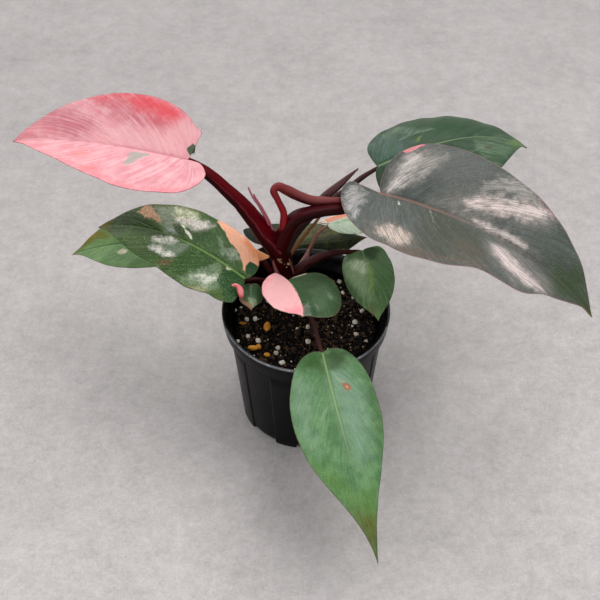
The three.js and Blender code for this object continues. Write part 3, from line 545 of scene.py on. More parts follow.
# A patch is its colour, the softness of its edge, how far noise moves the edge, its strength,
# how much it breaks up into streaks along the veins, and its corners. A text of corners was drawn
# over an enlarged crop of the photograph: "right,down" in pixels of the enlarged crop,
# whose place in the photograph, zoom and place on the drawing sheet are given under crop, with
# the stretch of blade it is looked for on. A list of corners was given in the flat
# blade: (along the midrib, out from it, left positive) in millimetres.
LOOKS = {
    "pink_leaf": dict(
        base=("fcc2c7", "ea98a2"), streak=0.6, under="e59aa2", midrib=("d27f8b", 0.9, 0.75),
        margin=("8a3a3e", 0.3), tip=("9a5a58", 0.975), vein=("d98c96", 0.22), rough=0.42, seed=1.0,
        speckle=("ffd6d6", 0.15), crease="b5606a", grit=0.35, relief=0.2,
        crop=dict(left=10, top=85, zoom=7, along=(-30, 150), out=(-50, 50)),
        patches=dict(
            deep_rose=("dc6873", 8, 5, 0.85, 0.4,
                "540,95 760,55 920,70 1000,180 1110,255 1160,300 1000,270 800,170 650,125"),
            dusty=("cc707c", 8, 5, 0.8, 0.65, "200,230 400,150 580,240 640,330 450,380 260,320"),
            dusty2=("cc6a76", 6, 4, 0.75, 0.65, "600,120 780,130 920,215 1110,250 1130,310 900,290 740,230"),
            coral=("ee4450", 7, 2, 0.92, 0.12,
                "830,100 960,60 1100,110 1200,180 1225,232 1150,262 1060,235 980,190 880,150"),
            coral_top=("ea5f69", 4, 3, 0.75, 0.2, "560,90 760,50 960,55 960,85 760,90 600,120"),
            pale=("fcb9bd", 6, 4, 0.85, 0.35,
                "560,340 700,280 900,310 1090,325 1170,270 1250,230 1345,340 1230,480 1100,480 800,432 "
                "600,405"),
            pale_streak=("ffc7cb", 3, 3, 0.6, 0.8, "620,300 760,300 1000,380 1180,440 1000,430 760,380"),
            tip=("e18187", 6, 4, 0.75, 0.4, "20,400 90,290 180,230 330,330 180,345"),
            rosy_margin=("fa8d97", 4, 3, 0.75, 0.2,
                "60,390 300,520 700,705 860,760 1200,770 1340,690 1200,725 900,720 740,670 330,490"),
            blotch=("f49191", 4, 3, 0.75, 0.2, "410,455 540,460 550,510 430,505"),
            blotch2=("f08d8d", 3, 3, 0.75, 0.2, "520,570 600,560 615,600 540,615"),
            green_corner=("2e5c3e", 0.4, 0.4, 0.95, 0.0, [(3, -8), (-1, -13), (-8, -8), (-7, -2), (0, -4)]),
            silver=("a9b3a9", 0.5, 1.0, 0.95, 0.25,
                "835,470 990,487 940,506 885,532 835,562 785,553 822,510"),
        ),
    ),
    "marbled_leaf": dict(
        base=("55753f", "274219"), streak=0.6, under="6f8464", midrib=("7f9f56", 1.3, 0.7),
        margin=("4a3f26", 0.35), tip=("64602a", 0.86), vein=("9db392", 0.3), rough=0.3, seed=2.0,
        speckle=("b9c6a4", 0.38), grit=1.7, gloss=0.12, relief=0.25, fades=0.32, flecked=True,
        crop=dict(left=95, top=198, zoom=11, along=(-20, 145), out=(-48, 45)),
        patches=dict(
            olive_tip=("34441c", 4, 2, 0.85, 0.3,
                [(134, 0), (120, -16), (104, -25), (93, -27), (92, -20), (104, -8), (104, 8), (116, 14),
                 (130, 8)]),
            dark_top_left=("1f3414", 3, 3, 0.9, 0.35,
                "30,330 250,180 450,150 560,200 700,290 760,380 880,430 1050,470 1050,480 700,440 450,370 "
                "200,330 60,350"),
            olive_band=("546e42", 4, 3, 0.6, 0.5,
                "100,360 300,370 560,400 700,430 640,520 560,600 420,560 260,460 140,420"),
            # painted sheen: a grey highlight over the upper half, broken into streaks
            grey_sheen_top=("8c9884", 3, 3, 0.9, 0.6,
                "650,120 780,85 900,75 960,150 930,240 900,330 950,420 860,400 760,330 720,250 690,200"),
            blue_white=("a5b1ad", 2.5, 2, 0.9, 0.8, "770,320 850,330 890,390 820,395 770,370"),
            olive_top_margin=("60683a", 2, 2, 0.8, 0.45,
                "640,70 850,52 960,70 1100,110 1200,190 1100,180 1000,130 900,90 700,95"),
            speckled_cream=("dfe3c4", 3.5, 3, 0.95, 0.6,
                "890,110 1040,120 1130,190 1130,250 1000,240 900,225 860,160"),
            bright_band=("eee8e0", 3.5, 3, 0.95, 0.55,
                "930,225 1020,225 1120,255 1240,265 1300,300 1240,350 1120,375 1060,355 1010,300 940,270"),
            dark_notch=("303d2e", 1.0, 1.5, 0.85, 0.3, "860,300 920,280 960,340 1000,400 960,440 900,380"),
            white_streak=("f4f4ea", 0.5, 0.7, 1.0, 0.2,
                [(65, -13), (62, -13), (59, -10), (55, -9), (51, -6), (50, -3), (54, -5), (57, -7),
                 (60, -9)]),
            dark_right_of_streak=("2b4424", 2.5, 3, 0.85, 0.3,
                "1085,370 1180,355 1290,340 1290,400 1250,450 1100,470"),
            green_right=("3d5c34", 4, 4, 0.75, 0.5,
                "1080,480 1300,370 1430,370 1470,440 1560,560 1610,650 1600,740 1500,740 1380,660 1250,590 "
                "1100,520"),
            light_lines_right=("8a9c84", 1.5, 2, 0.8, 0.6,
                "1350,430 1400,440 1430,560 1430,650 1390,640 1360,540"),
            grey_right=("a6b09c", 3, 3, 0.9, 0.6, "1450,570 1560,550 1600,640 1580,690 1500,670 1440,630"),
            white_by_midrib=("e9ebe0", 2.5, 2.5, 1.0, 0.6,
                "640,435 740,440 850,435 900,480 840,510 730,495 660,480"),
            # painted sheen: a grey highlight below the midrib
            grey_sheen_low=("8a9986", 3, 3, 0.85, 0.5,
                "600,520 760,500 900,520 1030,490 1060,510 960,600 860,660 780,655 690,620"),
            white_low=("efede4", 2.5, 3, 1.0, 0.55,
                "610,540 710,525 770,580 860,610 870,640 790,655 700,620 630,590"),
            tan_patch=("745844", 2, 2, 0.85, 0.3, "690,680 860,665 860,700 740,745 690,725"),
            green_low=("2d5220", 3, 3, 0.85, 0.4,
                "850,720 900,640 1060,520 1200,580 1350,690 1250,730 1100,790 930,840 860,800"),
            pale_low=("7c9070", 2, 3, 0.95, 0.55,
                "890,870 1050,820 1200,770 1350,700 1400,740 1380,820 1360,880 1390,940 1380,1010 1250,1020 "
                "1100,990 980,930"),
            bright_low=("e2e7d6", 2.2, 2.5, 1.0, 0.7,
                "1030,845 1150,815 1260,850 1340,830 1360,880 1260,950 1190,980 1150,900 1050,880"),
            cream_low_margin=("a9a780", 1.5, 2, 0.8, 0.4,
                "980,950 1100,960 1250,1000 1240,1040 1100,1020 1000,980"),
            olive_lobe=("4a6024", 3, 3, 0.8, 0.3, "1240,1050 1400,1000 1440,1080 1400,1140 1290,1090"),
            dark_lobe=("224a22", 0.6, 2.5, 0.95, 0.2,
                "1405,760 1450,790 1530,800 1640,830 1690,900 1720,960 1720,1150 1450,1160 1400,1060 "
                "1370,950 1350,900 1395,830"),
            cream_spot=("e3ddc4", 0.5, 0.6, 0.95, 0.0, "1425,740 1505,775 1490,800 1440,792"),
            peach_top=("c99c7e", 0.9, 2.0, 0.92, 0.45,
                "462,150 540,100 600,90 655,128 692,205 730,262 690,262 640,222 590,212 560,205 515,190"),
            peach=("ffbc9a", 0.5, 1.0, 1.0, 0.0,
                "1335,250 1400,230 1900,300 1900,800 1815,760 1780,755 1745,715 1700,705 1665,745 1650,820 "
                "1630,795 1615,700 1605,640 1555,560 1480,490 1450,400 1395,330"),
            orange=("f09058", 3, 2, 0.85, 0.0,
                "1610,470 1700,430 1900,500 1900,800 1790,745 1740,650 1680,560"),
            island=("294c2b", 0.5, 0.8, 1.0, 0.0,
                "1655,765 1700,705 1745,715 1782,757 1772,800 1720,835 1655,825"),
        ),
    ),
    "under_leaf": dict(
        base=("74985e", "5e834c"), streak=0.4, under="949d78", midrib=("274022", 0.9, 0.9), fades=0.95,
        margin=("3d4522", 0.35), tip=("918f40", 0.93), vein=("90ae7b", 0.15), rough=0.36, seed=3.0,
        speckle=("a7bb8f", 0.1),
        crop=dict(left=95, top=198, zoom=11, along=(-15, 100), out=(-35, 35)),
        patches=dict(
            olive_band=("6c6814", 3, 1.5, 0.95, 0.1,
                "15,337 155,377 165,437 55,447 -35,487 -125,557 -215,607 -245,607 -235,567 -125,447"),
            olive_tip=("8a7018", 3, 1.5, 0.8, 0.1, "-120,430 0,350 40,380 0,430 -80,480"),
            cream=("d5caaf", 0.5, 0.6, 1.0, 0.1, "235,597 318,552 375,592 298,628"),
            light=("648258", 4, 3, 0.6, 0.5, "60,600 200,600 400,650 500,700 300,720 120,680"),
        ),
    ),
    "large_leaf": dict(
        base=("5c625e", "474c49"), streak=0.7, under="7d7a70", midrib=("8a6c5e", 1.7, 0.75),
        margin=("b07c7a", 0.4), tip=("465a2c", 0.9), vein=("8b8f86", 0.3), rough=0.3, seed=4.0,
        speckle=("a9a69c", 0.25), grit=1.0, relief=0.35, fades=0.2,
        crop=dict(left=338, top=138, zoom=6, along=(-40, 196), out=(-62, 62)),
        patches=dict(
            purplish=("6a6c68", 8, 5, 0.7, 0.5, "520,50 760,70 920,170 1000,230 820,300 600,270 540,180"),
            # painted sheen: the three fan patches are highlights painted near the leaf's base
            fan=("a8a09a", 6, 4, 0.9, 0.65, "290,330 310,250 390,110 430,75 530,75 660,100 580,190 440,270"),
            sheen_fan_core=("dfd5d0", 4, 3, 1.0, 0.65, "300,322 380,200 410,120 450,95 490,110 440,190 350,290"),
            sheen_fan_low=("cfc7c0", 2.5, 3, 0.9, 0.8, "330,305 430,230 560,190 480,240 380,300"),
            speck_right=("b4aca6", 4, 5, 0.85, 0.6,
                "880,280 1000,235 1090,250 1190,345 1240,430 1100,370 1000,330"),
            # painted sheen: each halo and its core below, and the lobe patch, are highlights painted on the
            # blade, broken into streaks along the veins
            sheen_band_halo=("8f8982", 9, 5, 0.85, 0.5,
                "540,390 700,330 900,325 1150,360 1250,410 1310,480 1240,560 1110,530 980,470 840,460 "
                "700,430"),
            sheen_band_core=("efdbd6", 4.5, 4, 1.0, 0.55,
                "740,370 900,365 1080,395 1200,405 1270,460 1220,500 1080,480 900,430 780,415"),
            second_sheen_halo=("8e8881", 6, 4, 0.85, 0.5,
                "720,440 840,460 980,540 1120,630 1210,700 1090,650 940,580 820,530 690,470"),
            second_sheen_core=("ead9d4", 3, 2.5, 1.0, 0.55,
                "810,490 880,510 980,560 1090,620 1130,655 1040,620 940,570 850,530"),
            low_sheen_halo=("8d8782", 6, 4, 0.9, 0.6,
                "860,600 960,600 1070,680 1200,790 1310,890 1300,950 1180,935 1040,860 950,760 890,680"),
            low_sheen_core=("e4d2ce", 4, 3, 1.0, 0.62,
                "920,640 990,660 1080,750 1170,850 1230,920 1150,900 1050,820 970,730"),
            left_sheen_halo=("7d746c", 7, 5, 0.85, 0.5, "160,510 300,505 430,550 490,620 430,700 320,660 210,600"),
            left_sheen_core=("d8c4b8", 4, 4, 1.0, 0.65, "215,535 330,530 415,570 430,620 350,640 260,590"),
            lobe=("b8b4b2", 4, 5, 0.9, 0.6, "35,330 90,285 165,330 135,400 110,480 55,440"),
            dark_low=("474b3c", 5, 4, 0.8, 0.4,
                [(41, 0), (60, -6), (86, -7), (93, -24), (83, -42), (66, -48), (50, -46), (41, -28)]),
            tan=("66584a", 4, 4, 0.45, 0.5, "690,620 760,600 870,680 920,780 820,775 700,700"),
            brown_low_margin=("6c5a4a", 3, 3, 0.6, 0.4,
                "300,660 480,720 820,775 900,790 830,740 600,700 420,650"),
            green_right=("4b584c", 8, 5, 0.75, 0.4, "1130,580 1320,560 1420,660 1490,850 1320,740 1190,650"),
            green_tip=("3a4d2b", 10, 5, 0.95, 0.3,
                "1260,740 1330,760 1480,800 1530,1090 1440,1010 1300,940"),
            dark_near_midrib=("4c5348", 4, 3, 0.65, 0.3,
                "280,370 560,430 860,570 1080,680 1020,670 800,580 560,480 300,420"),
            pink_top=("ea8e92", 0.7, 0.8, 0.95, 0.1,
                [(2, 37), (8, 43), (15, 48), (19, 48), (13, 42), (8, 37)]),
            pink_margin=("b98486", 2.5, 3, 0.5, 0.5,
                "1170,330 1250,420 1340,520 1360,520 1280,410 1200,320"),
            speck1=("dedace", 0.4, 0.4, 0.9, 0.0, "355,372 364,374 374,402 364,404"),
            speck2=("d0cabe", 0.4, 0.4, 0.85, 0.0, "500,528 508,528 511,550 503,550"),
            vein_line=("92988c", 0.5, 0.5, 0.7, 0.2, "546,420 553,420 603,590 595,592"),
            vein_line2=("7e8478", 0.5, 0.5, 0.5, 0.2, "330,385 336,385 342,480 335,480"),
            vein_line3=("7e8478", 0.5, 0.5, 0.5, 0.2, "244,344 250,346 190,450 183,448"),
        ),
    ),
    "back_leaf": dict(
        base=("365538", "223c26"), streak=0.6, under="57694e", midrib=("7f9468", 1.0, 0.75), fades=0.8,
        margin=("483727", 0.4), tip=("64692e", 0.9), vein=("587659", 0.22), rough=0.34, seed=5.0,
        speckle=("657c68", 0.2),
        crop=dict(left=345, top=80, zoom=5, sheet=(608, 0), along=(-25, 150), out=(-55, 55)),
        patches=dict(
            # painted sheen: a bluish reflection on the lobe, and a lighter band along it
            blue_sheen_lobe=("56706c", 6, 4, 0.85, 0.7, "735,330 780,290 860,280 930,300 900,360 800,400 760,400"),
            sheen_band=("7c907c", 2.5, 2, 0.8, 0.7,
                "790,275 870,238 960,245 1040,235 940,275 860,268 800,300"),
            dark_top=("224422", 6, 4, 0.85, 0.4,
                "900,205 1050,180 1200,188 1340,230 1200,262 1050,265 950,245"),
            mid_dark=("2c472c", 6, 4, 0.8, 0.5, "980,290 1120,290 1200,320 1100,330 980,330"),
            # painted sheen: a lighter grey-green highlight towards the tip
            sheen_right=("6e866a", 5, 4, 0.85, 0.7,
                "1240,300 1400,280 1460,310 1430,380 1380,440 1290,400"),
            olive_spot=("627e37", 1, 1, 0.85, 0.3, "960,312 975,282 992,280 980,308"),
            brown_spot=("584c30", 1, 1.5, 0.75, 0.5, "1295,330 1345,328 1340,345 1300,345"),
            tip_green=("6e8e4a", 2.5, 1.5, 0.6, 0.3, "1420,320 1450,290 1500,300 1520,335 1470,345"),
            line1=("7f967f", 0.9, 0.8, 0.55, 0.5, "870,300 960,262 1060,240 1062,246 970,270 880,306"),
            line2=("7f967f", 0.9, 0.8, 0.55, 0.5, "1220,360 1300,330 1380,300 1382,306 1300,338 1225,368"),
        ),
    ),
    "hanging_leaf": dict(
        base=("729b69", "4c774b"), streak=0.35, under="7a8f6c", midrib=("8aa364", 1.0, 0.75),
        margin=("523d21", 0.5), tip=("6a4a20", 0.97), vein=("8aa584", 0.12), rough=0.34, seed=6.0,
        speckle=("839f79", 0.15),
        crop=dict(left=278, top=325, zoom=5, along=(-15, 170), out=(-42, 42)),
        patches=dict(
            # painted sheen: the light patches right and left of the midrib are bluish-grey highlights
            light_sheen_right=("7c9a84", 8, 4, 0.75, 0.3,
                "255,230 330,220 420,330 450,470 450,640 400,700 350,560 300,420 265,300"),
            light_sheen_left=("84a286", 8, 4, 0.75, 0.3, "70,300 110,250 170,330 160,500 210,640 120,560 75,420"),
            darker_by_midrib=("5a7e52", 5, 3, 0.6, 0.5,
                "225,200 250,300 290,450 330,600 370,750 340,720 280,580 235,430 205,300"),
            base_left=("2e5618", 6, 3, 0.9, 0.2, "100,200 160,130 215,135 228,180 240,250 200,240 150,230"),
            base_right=("304c24", 6, 3, 0.9, 0.2, "228,150 300,105 360,140 340,200 290,220 250,220"),
            right_margin=("3d6030", 4, 3, 0.7, 0.3,
                "440,240 500,340 530,480 530,720 505,660 485,480 450,330"),
            lower_green=("608738", 9, 4, 0.75, 0.3,
                "170,700 300,740 400,860 480,800 510,900 500,1060 440,1000 330,880 230,790"),
            tip_olive=("605a16", 9, 3, 0.85, 0.2, [(122, -8), (131, 10), (161, 0), (156, -4)]),
            # painted sheen: a light streak beside the midrib
            lines=("94a98c", 0.8, 1, 0.75, 0.6, "250,228 275,232 350,300 345,312 290,268"),
            lines_left=("8ca382", 0.8, 1, 0.65, 0.6, "258,392 262,400 236,455 206,525 198,520 225,440"),
            lines_right=("889f82", 0.8, 1, 0.6, 0.6, "385,330 392,330 430,430 455,540 448,540 415,430"),
            blemish=("a66244", 0.7, 0.6, 0.95, 0.2,
                [(29, 8.2), (28.6, 12), (31, 14.6), (34.5, 14), (35.6, 10.8), (33, 8)]),
            blemish_middle=("dcac92", 0.6, 0.4, 0.95, 0.0, [(31, 10), (31, 12.4), (33.4, 12.4), (33.4, 10)]),
        ),
    ),
    "half_pink_leaf": dict(
        base=("3e5c35", "2b4526"), streak=0.5, under="8a8f72", midrib=("8fa27c", 0.5, 0.5),
        margin=("7c6a50", 0.35), tip=("7a8a5a", 0.97), vein=("7ba27c", 0.15), rough=0.36, seed=7.0,
        speckle=("8aa682", 0.3),
        crop=dict(left=225, top=255, zoom=5, sheet=(1106, 658), along=(-22, 58), out=(-32, 40)),
        patches=dict(
            pink_half=("ffbdbf", 0.35, 0.5, 1.0, 0.0,
                [(-20, 0.2), (2, -0.2), (20, -0.6), (40, 0.2), (60, 0.4), (60, -40), (-30, -40),
                 (-30, 0)]),
            rosy_tip=("fd8f9b", 4, 3, 0.7, 0.2, [(38, -1), (42, -12), (50, -12), (54, -1)]),
            rosy_base=("fd9ca6", 3, 3, 0.65, 0.2,
                [(-18, -2), (-14, -20), (4, -28), (20, -26), (4, -22), (-8, -12)]),
            lighter_centre=("567050", 5, 4, 0.75, 0.5, "1530,840 1600,800 1655,860 1610,940 1540,910"),
            # painted sheen: two small highlights on the green half
            sheen=("a2aea6", 1.2, 2, 0.75, 0.75, "1500,900 1525,895 1530,960 1500,965"),
            sheen2=("98a698", 0.8, 1.5, 0.7, 0.75, "1556,905 1575,900 1590,940 1570,945"),
            arc=("8c9f88", 0.7, 1.2, 0.6, 0.6, "1590,830 1640,850 1650,900 1620,950 1635,900 1625,860"),
            dark_edge=("27421c", 3, 3, 0.75, 0.3,
                "1470,790 1560,745 1660,800 1700,900 1670,985 1640,950 1670,880 1630,810 1550,780"),
            pale_base=("e0d2b4", 0.8, 0.8, 0.8, 0.3, [(-4, 2), (-6, 16), (-2, 17), (-1, 3)]),
        ),
    ),
    "side_leaf": dict(
        base=("698f58", "3e5c37"), streak=0.6, under="74896a", midrib=("84a45c", 0.8, 0.5),
        margin=("4c4a2a", 0.35), tip=("8a7a3c", 0.95), vein=("7da070", 0.25), rough=0.34, seed=8.0,
        speckle=("80a27a", 0.15),
        crop=dict(left=335, top=240, zoom=7, sheet=(608, 658), along=(-12, 75), out=(-25, 25)),
        patches=dict(
            dark_right=("5a7c4e", 4, 3, 0.8, 0.5,
                "850,740 920,705 1000,780 1020,950 970,1080 900,1130 880,950 860,830"),
            base_dark=("163516", 2.5, 2, 0.85, 0.2, "810,720 860,700 920,730 900,790 850,800 825,770"),
            # painted sheen: the light patch and its halo are highlights on this side of the leaf
            light_sheen_left=("92aa7e", 6, 3, 0.85, 0.4,
                "670,830 720,770 800,790 840,860 865,1000 860,1080 800,1060 720,980 680,900"),
            halo=("ccd9b6", 3, 2, 0.85, 0.6, "700,810 760,800 830,820 840,870 800,900 730,870"),
            midrib_glow=("8cac50", 2, 1.5, 0.8, 0.3, "835,820 850,820 880,940 885,1040 868,1040 850,940"),
            left_margin=("3b5632", 2, 2, 0.7, 0.3,
                "650,830 660,820 680,920 740,1020 820,1110 790,1110 700,1020 655,920"),
            tip=("5e7842", 3, 2, 0.8, 0.3, "860,1110 960,1100 940,1180 908,1230 880,1180"),
            brown=("6e5a3b", 1, 1, 0.7, 0.3, "830,1105 860,1115 905,1222 890,1215 850,1140"),
        ),
    ),
    "shaded_leaf": dict(
        base=("e6f5de", "bcd6b2"), streak=0.7, under="a4aa89", midrib=("c2cfac", 0.7, 0.6),
        margin=("878765", 0.3), tip=("8c9665", 0.95), vein=("bfd1b4", 0.3), rough=0.4, seed=9.0,
        speckle=("cbd7bf", 0.2),
        patches=dict(
            cream_half=("f6dccb", 1, 1, 0.95, 0.3, [(-6, 1), (-6, 20), (70, 20), (70, 1)]),
            salmon_strip=("fb8f6c", 1, 1, 0.95, 0.2, [(0, 1.5), (2, 12), (60, 8), (60, 1.5)]),
            green_strip=("7d9c76", 1.5, 1.5, 0.8, 0.6, [(0, -1), (4, -5), (50, -3), (56, -1)]),
        ),
    ),
    "tiny_leaf": dict(
        base=("3e5c38", "2c472a"), streak=0.4, under="716d50", midrib=("8f9a6c", 0.4, 0.5),
        margin=("937158", 0.5), tip=("937f5c", 0.93), vein=("617a55", 0.15), rough=0.38, seed=10.0,
        speckle=("6a8561", 0.1),
        crop=dict(left=225, top=255, zoom=5, sheet=(1106, 658), along=(-6, 28), out=(-12, 12), finest=0.1),
        patches=dict(
            pale_low=("8c9b7a", 0.5, 0.6, 0.9, 0.4, "1222,872 1262,880 1270,905 1245,925 1228,905"),
            brown_margin=("92684e", 0.5, 0.5, 0.9, 0.2,
                "1175,860 1190,850 1205,890 1240,905 1245,935 1225,925 1195,905 1172,885"),
            dark_up=("244622", 1, 0.8, 0.8, 0.2, "1200,815 1245,800 1285,830 1270,860 1225,860"),
        ),
    ),
    "old_leaf": dict(
        base=("3c4220", "12190c"), streak=0.3, flecked=True, grit=1.8, under="6a6a4a",
        midrib=("7d7d4c", 0.9, 0.5), margin=("5a4a2c", 0.5), tip=("5a4426", 0.88), vein=("4c6238", 0.3),
        rough=0.5, seed=11.0, speckle=("7d9254", 0.5),
        patches=dict(
            brown_half=("6a5c38", 3, 6, 0.7, 0.8, [(10, 2), (20, 18), (60, 18), (60, 4)]),
            dark_half=("0e160a", 3, 6, 0.85, 0.6, [(10, -2), (20, -18), (60, -18), (60, -4)]),
            shaded_base=("0c120a", 1.5, 1, 0.97, 0.0, [(-30, -34), (-30, 34), (0, 34), (1, -34)]),
        ),
    ),
}


def leaf_material(name, leaf, look):
    s = Shader(name)
    a, b, edge = s.attribute("flat")
    vein, reach, face = s.attribute("vein")
    seed = look["seed"] * 37
    flat = s.vector(a, b, seed)
    strand = s.vector(vein, s.times(reach, 0.1), seed)

    streaks = s.noise(strand, 0.42, 4.0, 0.66)
    hairs = s.noise(strand, 1.15, 3.0, 0.68)
    clouds = s.noise(s.vector(vein, s.times(reach, 0.35), seed), 0.1, 3.0, 0.6)
    blotches = s.noise(flat, 0.085, 4.0, 0.62)
    grains = s.noise(flat, 0.95, 4.0, 0.74)
    wander = s.noise(flat, 0.16, 5.0, 0.66)

    shade = s.blend(streaks, look["streak"], blotches, 1 - look["streak"])
    skin = s.two_tone(shade, 0.38, 0.62, look["base"])

    fine = s.blend(streaks, 0.45, hairs, 0.55)
    if look.get("flecked"):
        marbling = s.blend(s.noise(flat, 0.22, 4.0, 0.7), 0.45, s.noise(flat, 0.75, 5.0, 0.8), 0.55)
        fine = s.blend(streaks, 0.2, marbling, 0.8)
    broken = s.step(fine, 0.44, 0.54)
    cloudy = s.step(clouds, 0.36, 0.62, 0.35, 1.0)
    calm = 1.0  # less grain on the clear patches
    sockets = []
    for group in range(0, len(look["patches"]), 3):
        sockets += s.attribute(f"zones{group // 3}")
    for distance, patch in zip(sockets, look["patches"].values()):
        code, soft, warp, strength, streak, _ = patch
        moved = s.add(distance, s.sway(wander, 4.5 * warp))
        share = s.step(moved, -soft, soft, 1.0, 0.0)
        kept = s.times(s.add(1 - streak, s.times(broken, streak)), cloudy if streak > 0.65 else 1.0)
        share = s.times(share, s.times(kept, strength))
        skin = s.paint(skin, share, code)
        if not streak:
            calm = s.times(calm, s.math("SUBTRACT", 1.0, share))

    # side veins: fine lines close together, and wider ones farther apart
    code, strength = look["vein"]
    wide = s.fraction(s.add(vein, s.sway(wander, 2.0)), leaf["veins"])
    narrow = s.fraction(vein, leaf["veins"] / 5)
    narrow = s.step(s.off(narrow, 0.5), 0.3, 0.5)
    lines = s.math("MAXIMUM", s.step(s.off(wide, 0.5), 0.45, 0.5), s.times(narrow, 0.35))
    lines = s.times(lines, s.step(reach, 1.0, 9.0))
    skin = s.paint(skin, s.times(lines, s.times(s.step(blotches, 0.3, 0.65), strength * 1.6)), code)

    # small pale flecks
    code, strength = look["speckle"]
    flecks = s.times(s.step(grains, 0.55, 0.66), s.times(s.step(clouds, 0.36, 0.6), calm))
    skin = s.paint(skin, s.times(flecks, strength), code)

    # the skin's own grain, darker and lighter along the veins
    grit = s.add(s.sway(grains, look.get("grit", 1.0)), s.sway(hairs, 0.6))
    skin = s.scale(skin, s.add(1.0, s.times(grit, s.add(0.4, s.times(calm, 0.6)))))

    # midrib, painted shade beside it, tip and margin
    code, width, strength = look["midrib"]
    ahead = s.divide(a, leaf["length"])
    spread = s.times(s.step(ahead, -0.02, 1.0, 1.0, 0.22), width)
    across = s.divide(s.math("ABSOLUTE", b), spread)
    ridge = s.times(s.step(across, 0.45, 1.1, 1.0, 0.0), s.step(a, -2.0, 0.5))
    fades = look.get("fades", 0.3)
    fading = s.step(ahead, fades, fades + 0.2, strength, strength * 0.4)
    skin = s.paint(skin, s.times(ridge, fading), code)
    # painted shade: a dark line in the crease each side of the midrib
    beside = s.step(s.off(across, 1.5), 0.0, 0.8, 0.2, 0.0)
    skin = s.paint(skin, s.times(beside, s.step(a, 0.0, 4.0)), look.get("crease", "1c2016"))
    code, start = look["tip"]
    end = s.step(s.add(ahead, s.sway(wander, 0.05)), start, min(1.0, start + 0.1))
    skin = s.paint(skin, s.times(end, 0.9), code)
    code, width = look["margin"]
    rim = s.step(edge, width * 0.3, width * 1.5, 1.0, 0.0)
    skin = s.paint(skin, s.times(rim, s.step(streaks, 0.3, 0.6, 0.25, 0.75)), code)

    # the lower face is duller and paler
    below = s.mix(s.step(shade, 0.35, 0.65), colour(look["under"]), skin)
    below = s.paint(below, s.times(ridge, 0.7), "7a3a36")
    skin = s.mix(face, s.mix(0.35, below, skin), skin)

    height = s.add(s.times(lines, -0.4), s.blend(hairs, 0.6, grains, 0.5))
    s.set(
        Base_Color=skin,
        Roughness=s.add(s.sway(hairs, 0.25), look["rough"]),
        Normal=s.bump(s.add(height, s.times(streaks, 0.9)), look.get("relief", 0.3)),
        Specular_IOR_Level=look.get("gloss", 0.25),
    )
    return s.material


def petiole_skin(name, dark, light, channel_and_highlight, rough, seed, gleam, gloss=0.1, ridge=None, root=None):
    """A stalk's skin. The groove on its upper side gets the channel colour with a painted highlight, and
    ridge paints highlight lines on the groove's edges.
    """
    s = Shader(name)
    along, around, _ = s.attribute("stalk")
    strands = s.vector(s.times(around, 2.4), s.times(along, 0.05), seed)
    streaks = s.noise(strands, 2.4, 4.0, 0.66)
    patches = s.noise(s.place(), 0.12, 3.0, 0.55)
    grain = s.noise(s.place(), 1.6, 3.0, 0.65)
    skin = s.two_tone(s.blend(streaks, 0.6, patches, 0.4), 0.36, 0.64, (dark, light))
    # the upper side: the groove's own colour and a painted highlight
    upper = s.step(s.add(around, s.sway(patches, 0.6)), 0.3, 1.25, 1.0, 0.0)
    skin = s.paint(skin, s.times(upper, gleam), channel_and_highlight)
    if root:
        code, reach = root
        skin = s.paint(skin, s.step(along, 0.45 * reach, reach, 0.9, 0.0), code)
    # painted highlight lines along the groove's edges
    if ridge:
        line = s.step(s.off(around, 0.95), 0.03, 0.2, 1.0, 0.0)
        skin = s.paint(skin, s.times(line, s.step(streaks, 0.35, 0.6, 0.25, 0.8)), ridge)
    skin = s.scale(skin, s.add(0.55, s.blend(streaks, 0.5, grain, 0.4)))
    skin = s.paint(skin, s.times(s.step(grain, 0.66, 0.76), 0.12), "b07a6a")
    s.set(
        Base_Color=skin,
        Roughness=s.add(s.sway(streaks, 0.2), rough),
        Normal=s.bump(s.add(streaks, s.times(grain, 0.5)), 0.25, 0.9),
        Specular_IOR_Level=gloss,
    )
    return s.material


# ---------------------------------------------------------------- stalks

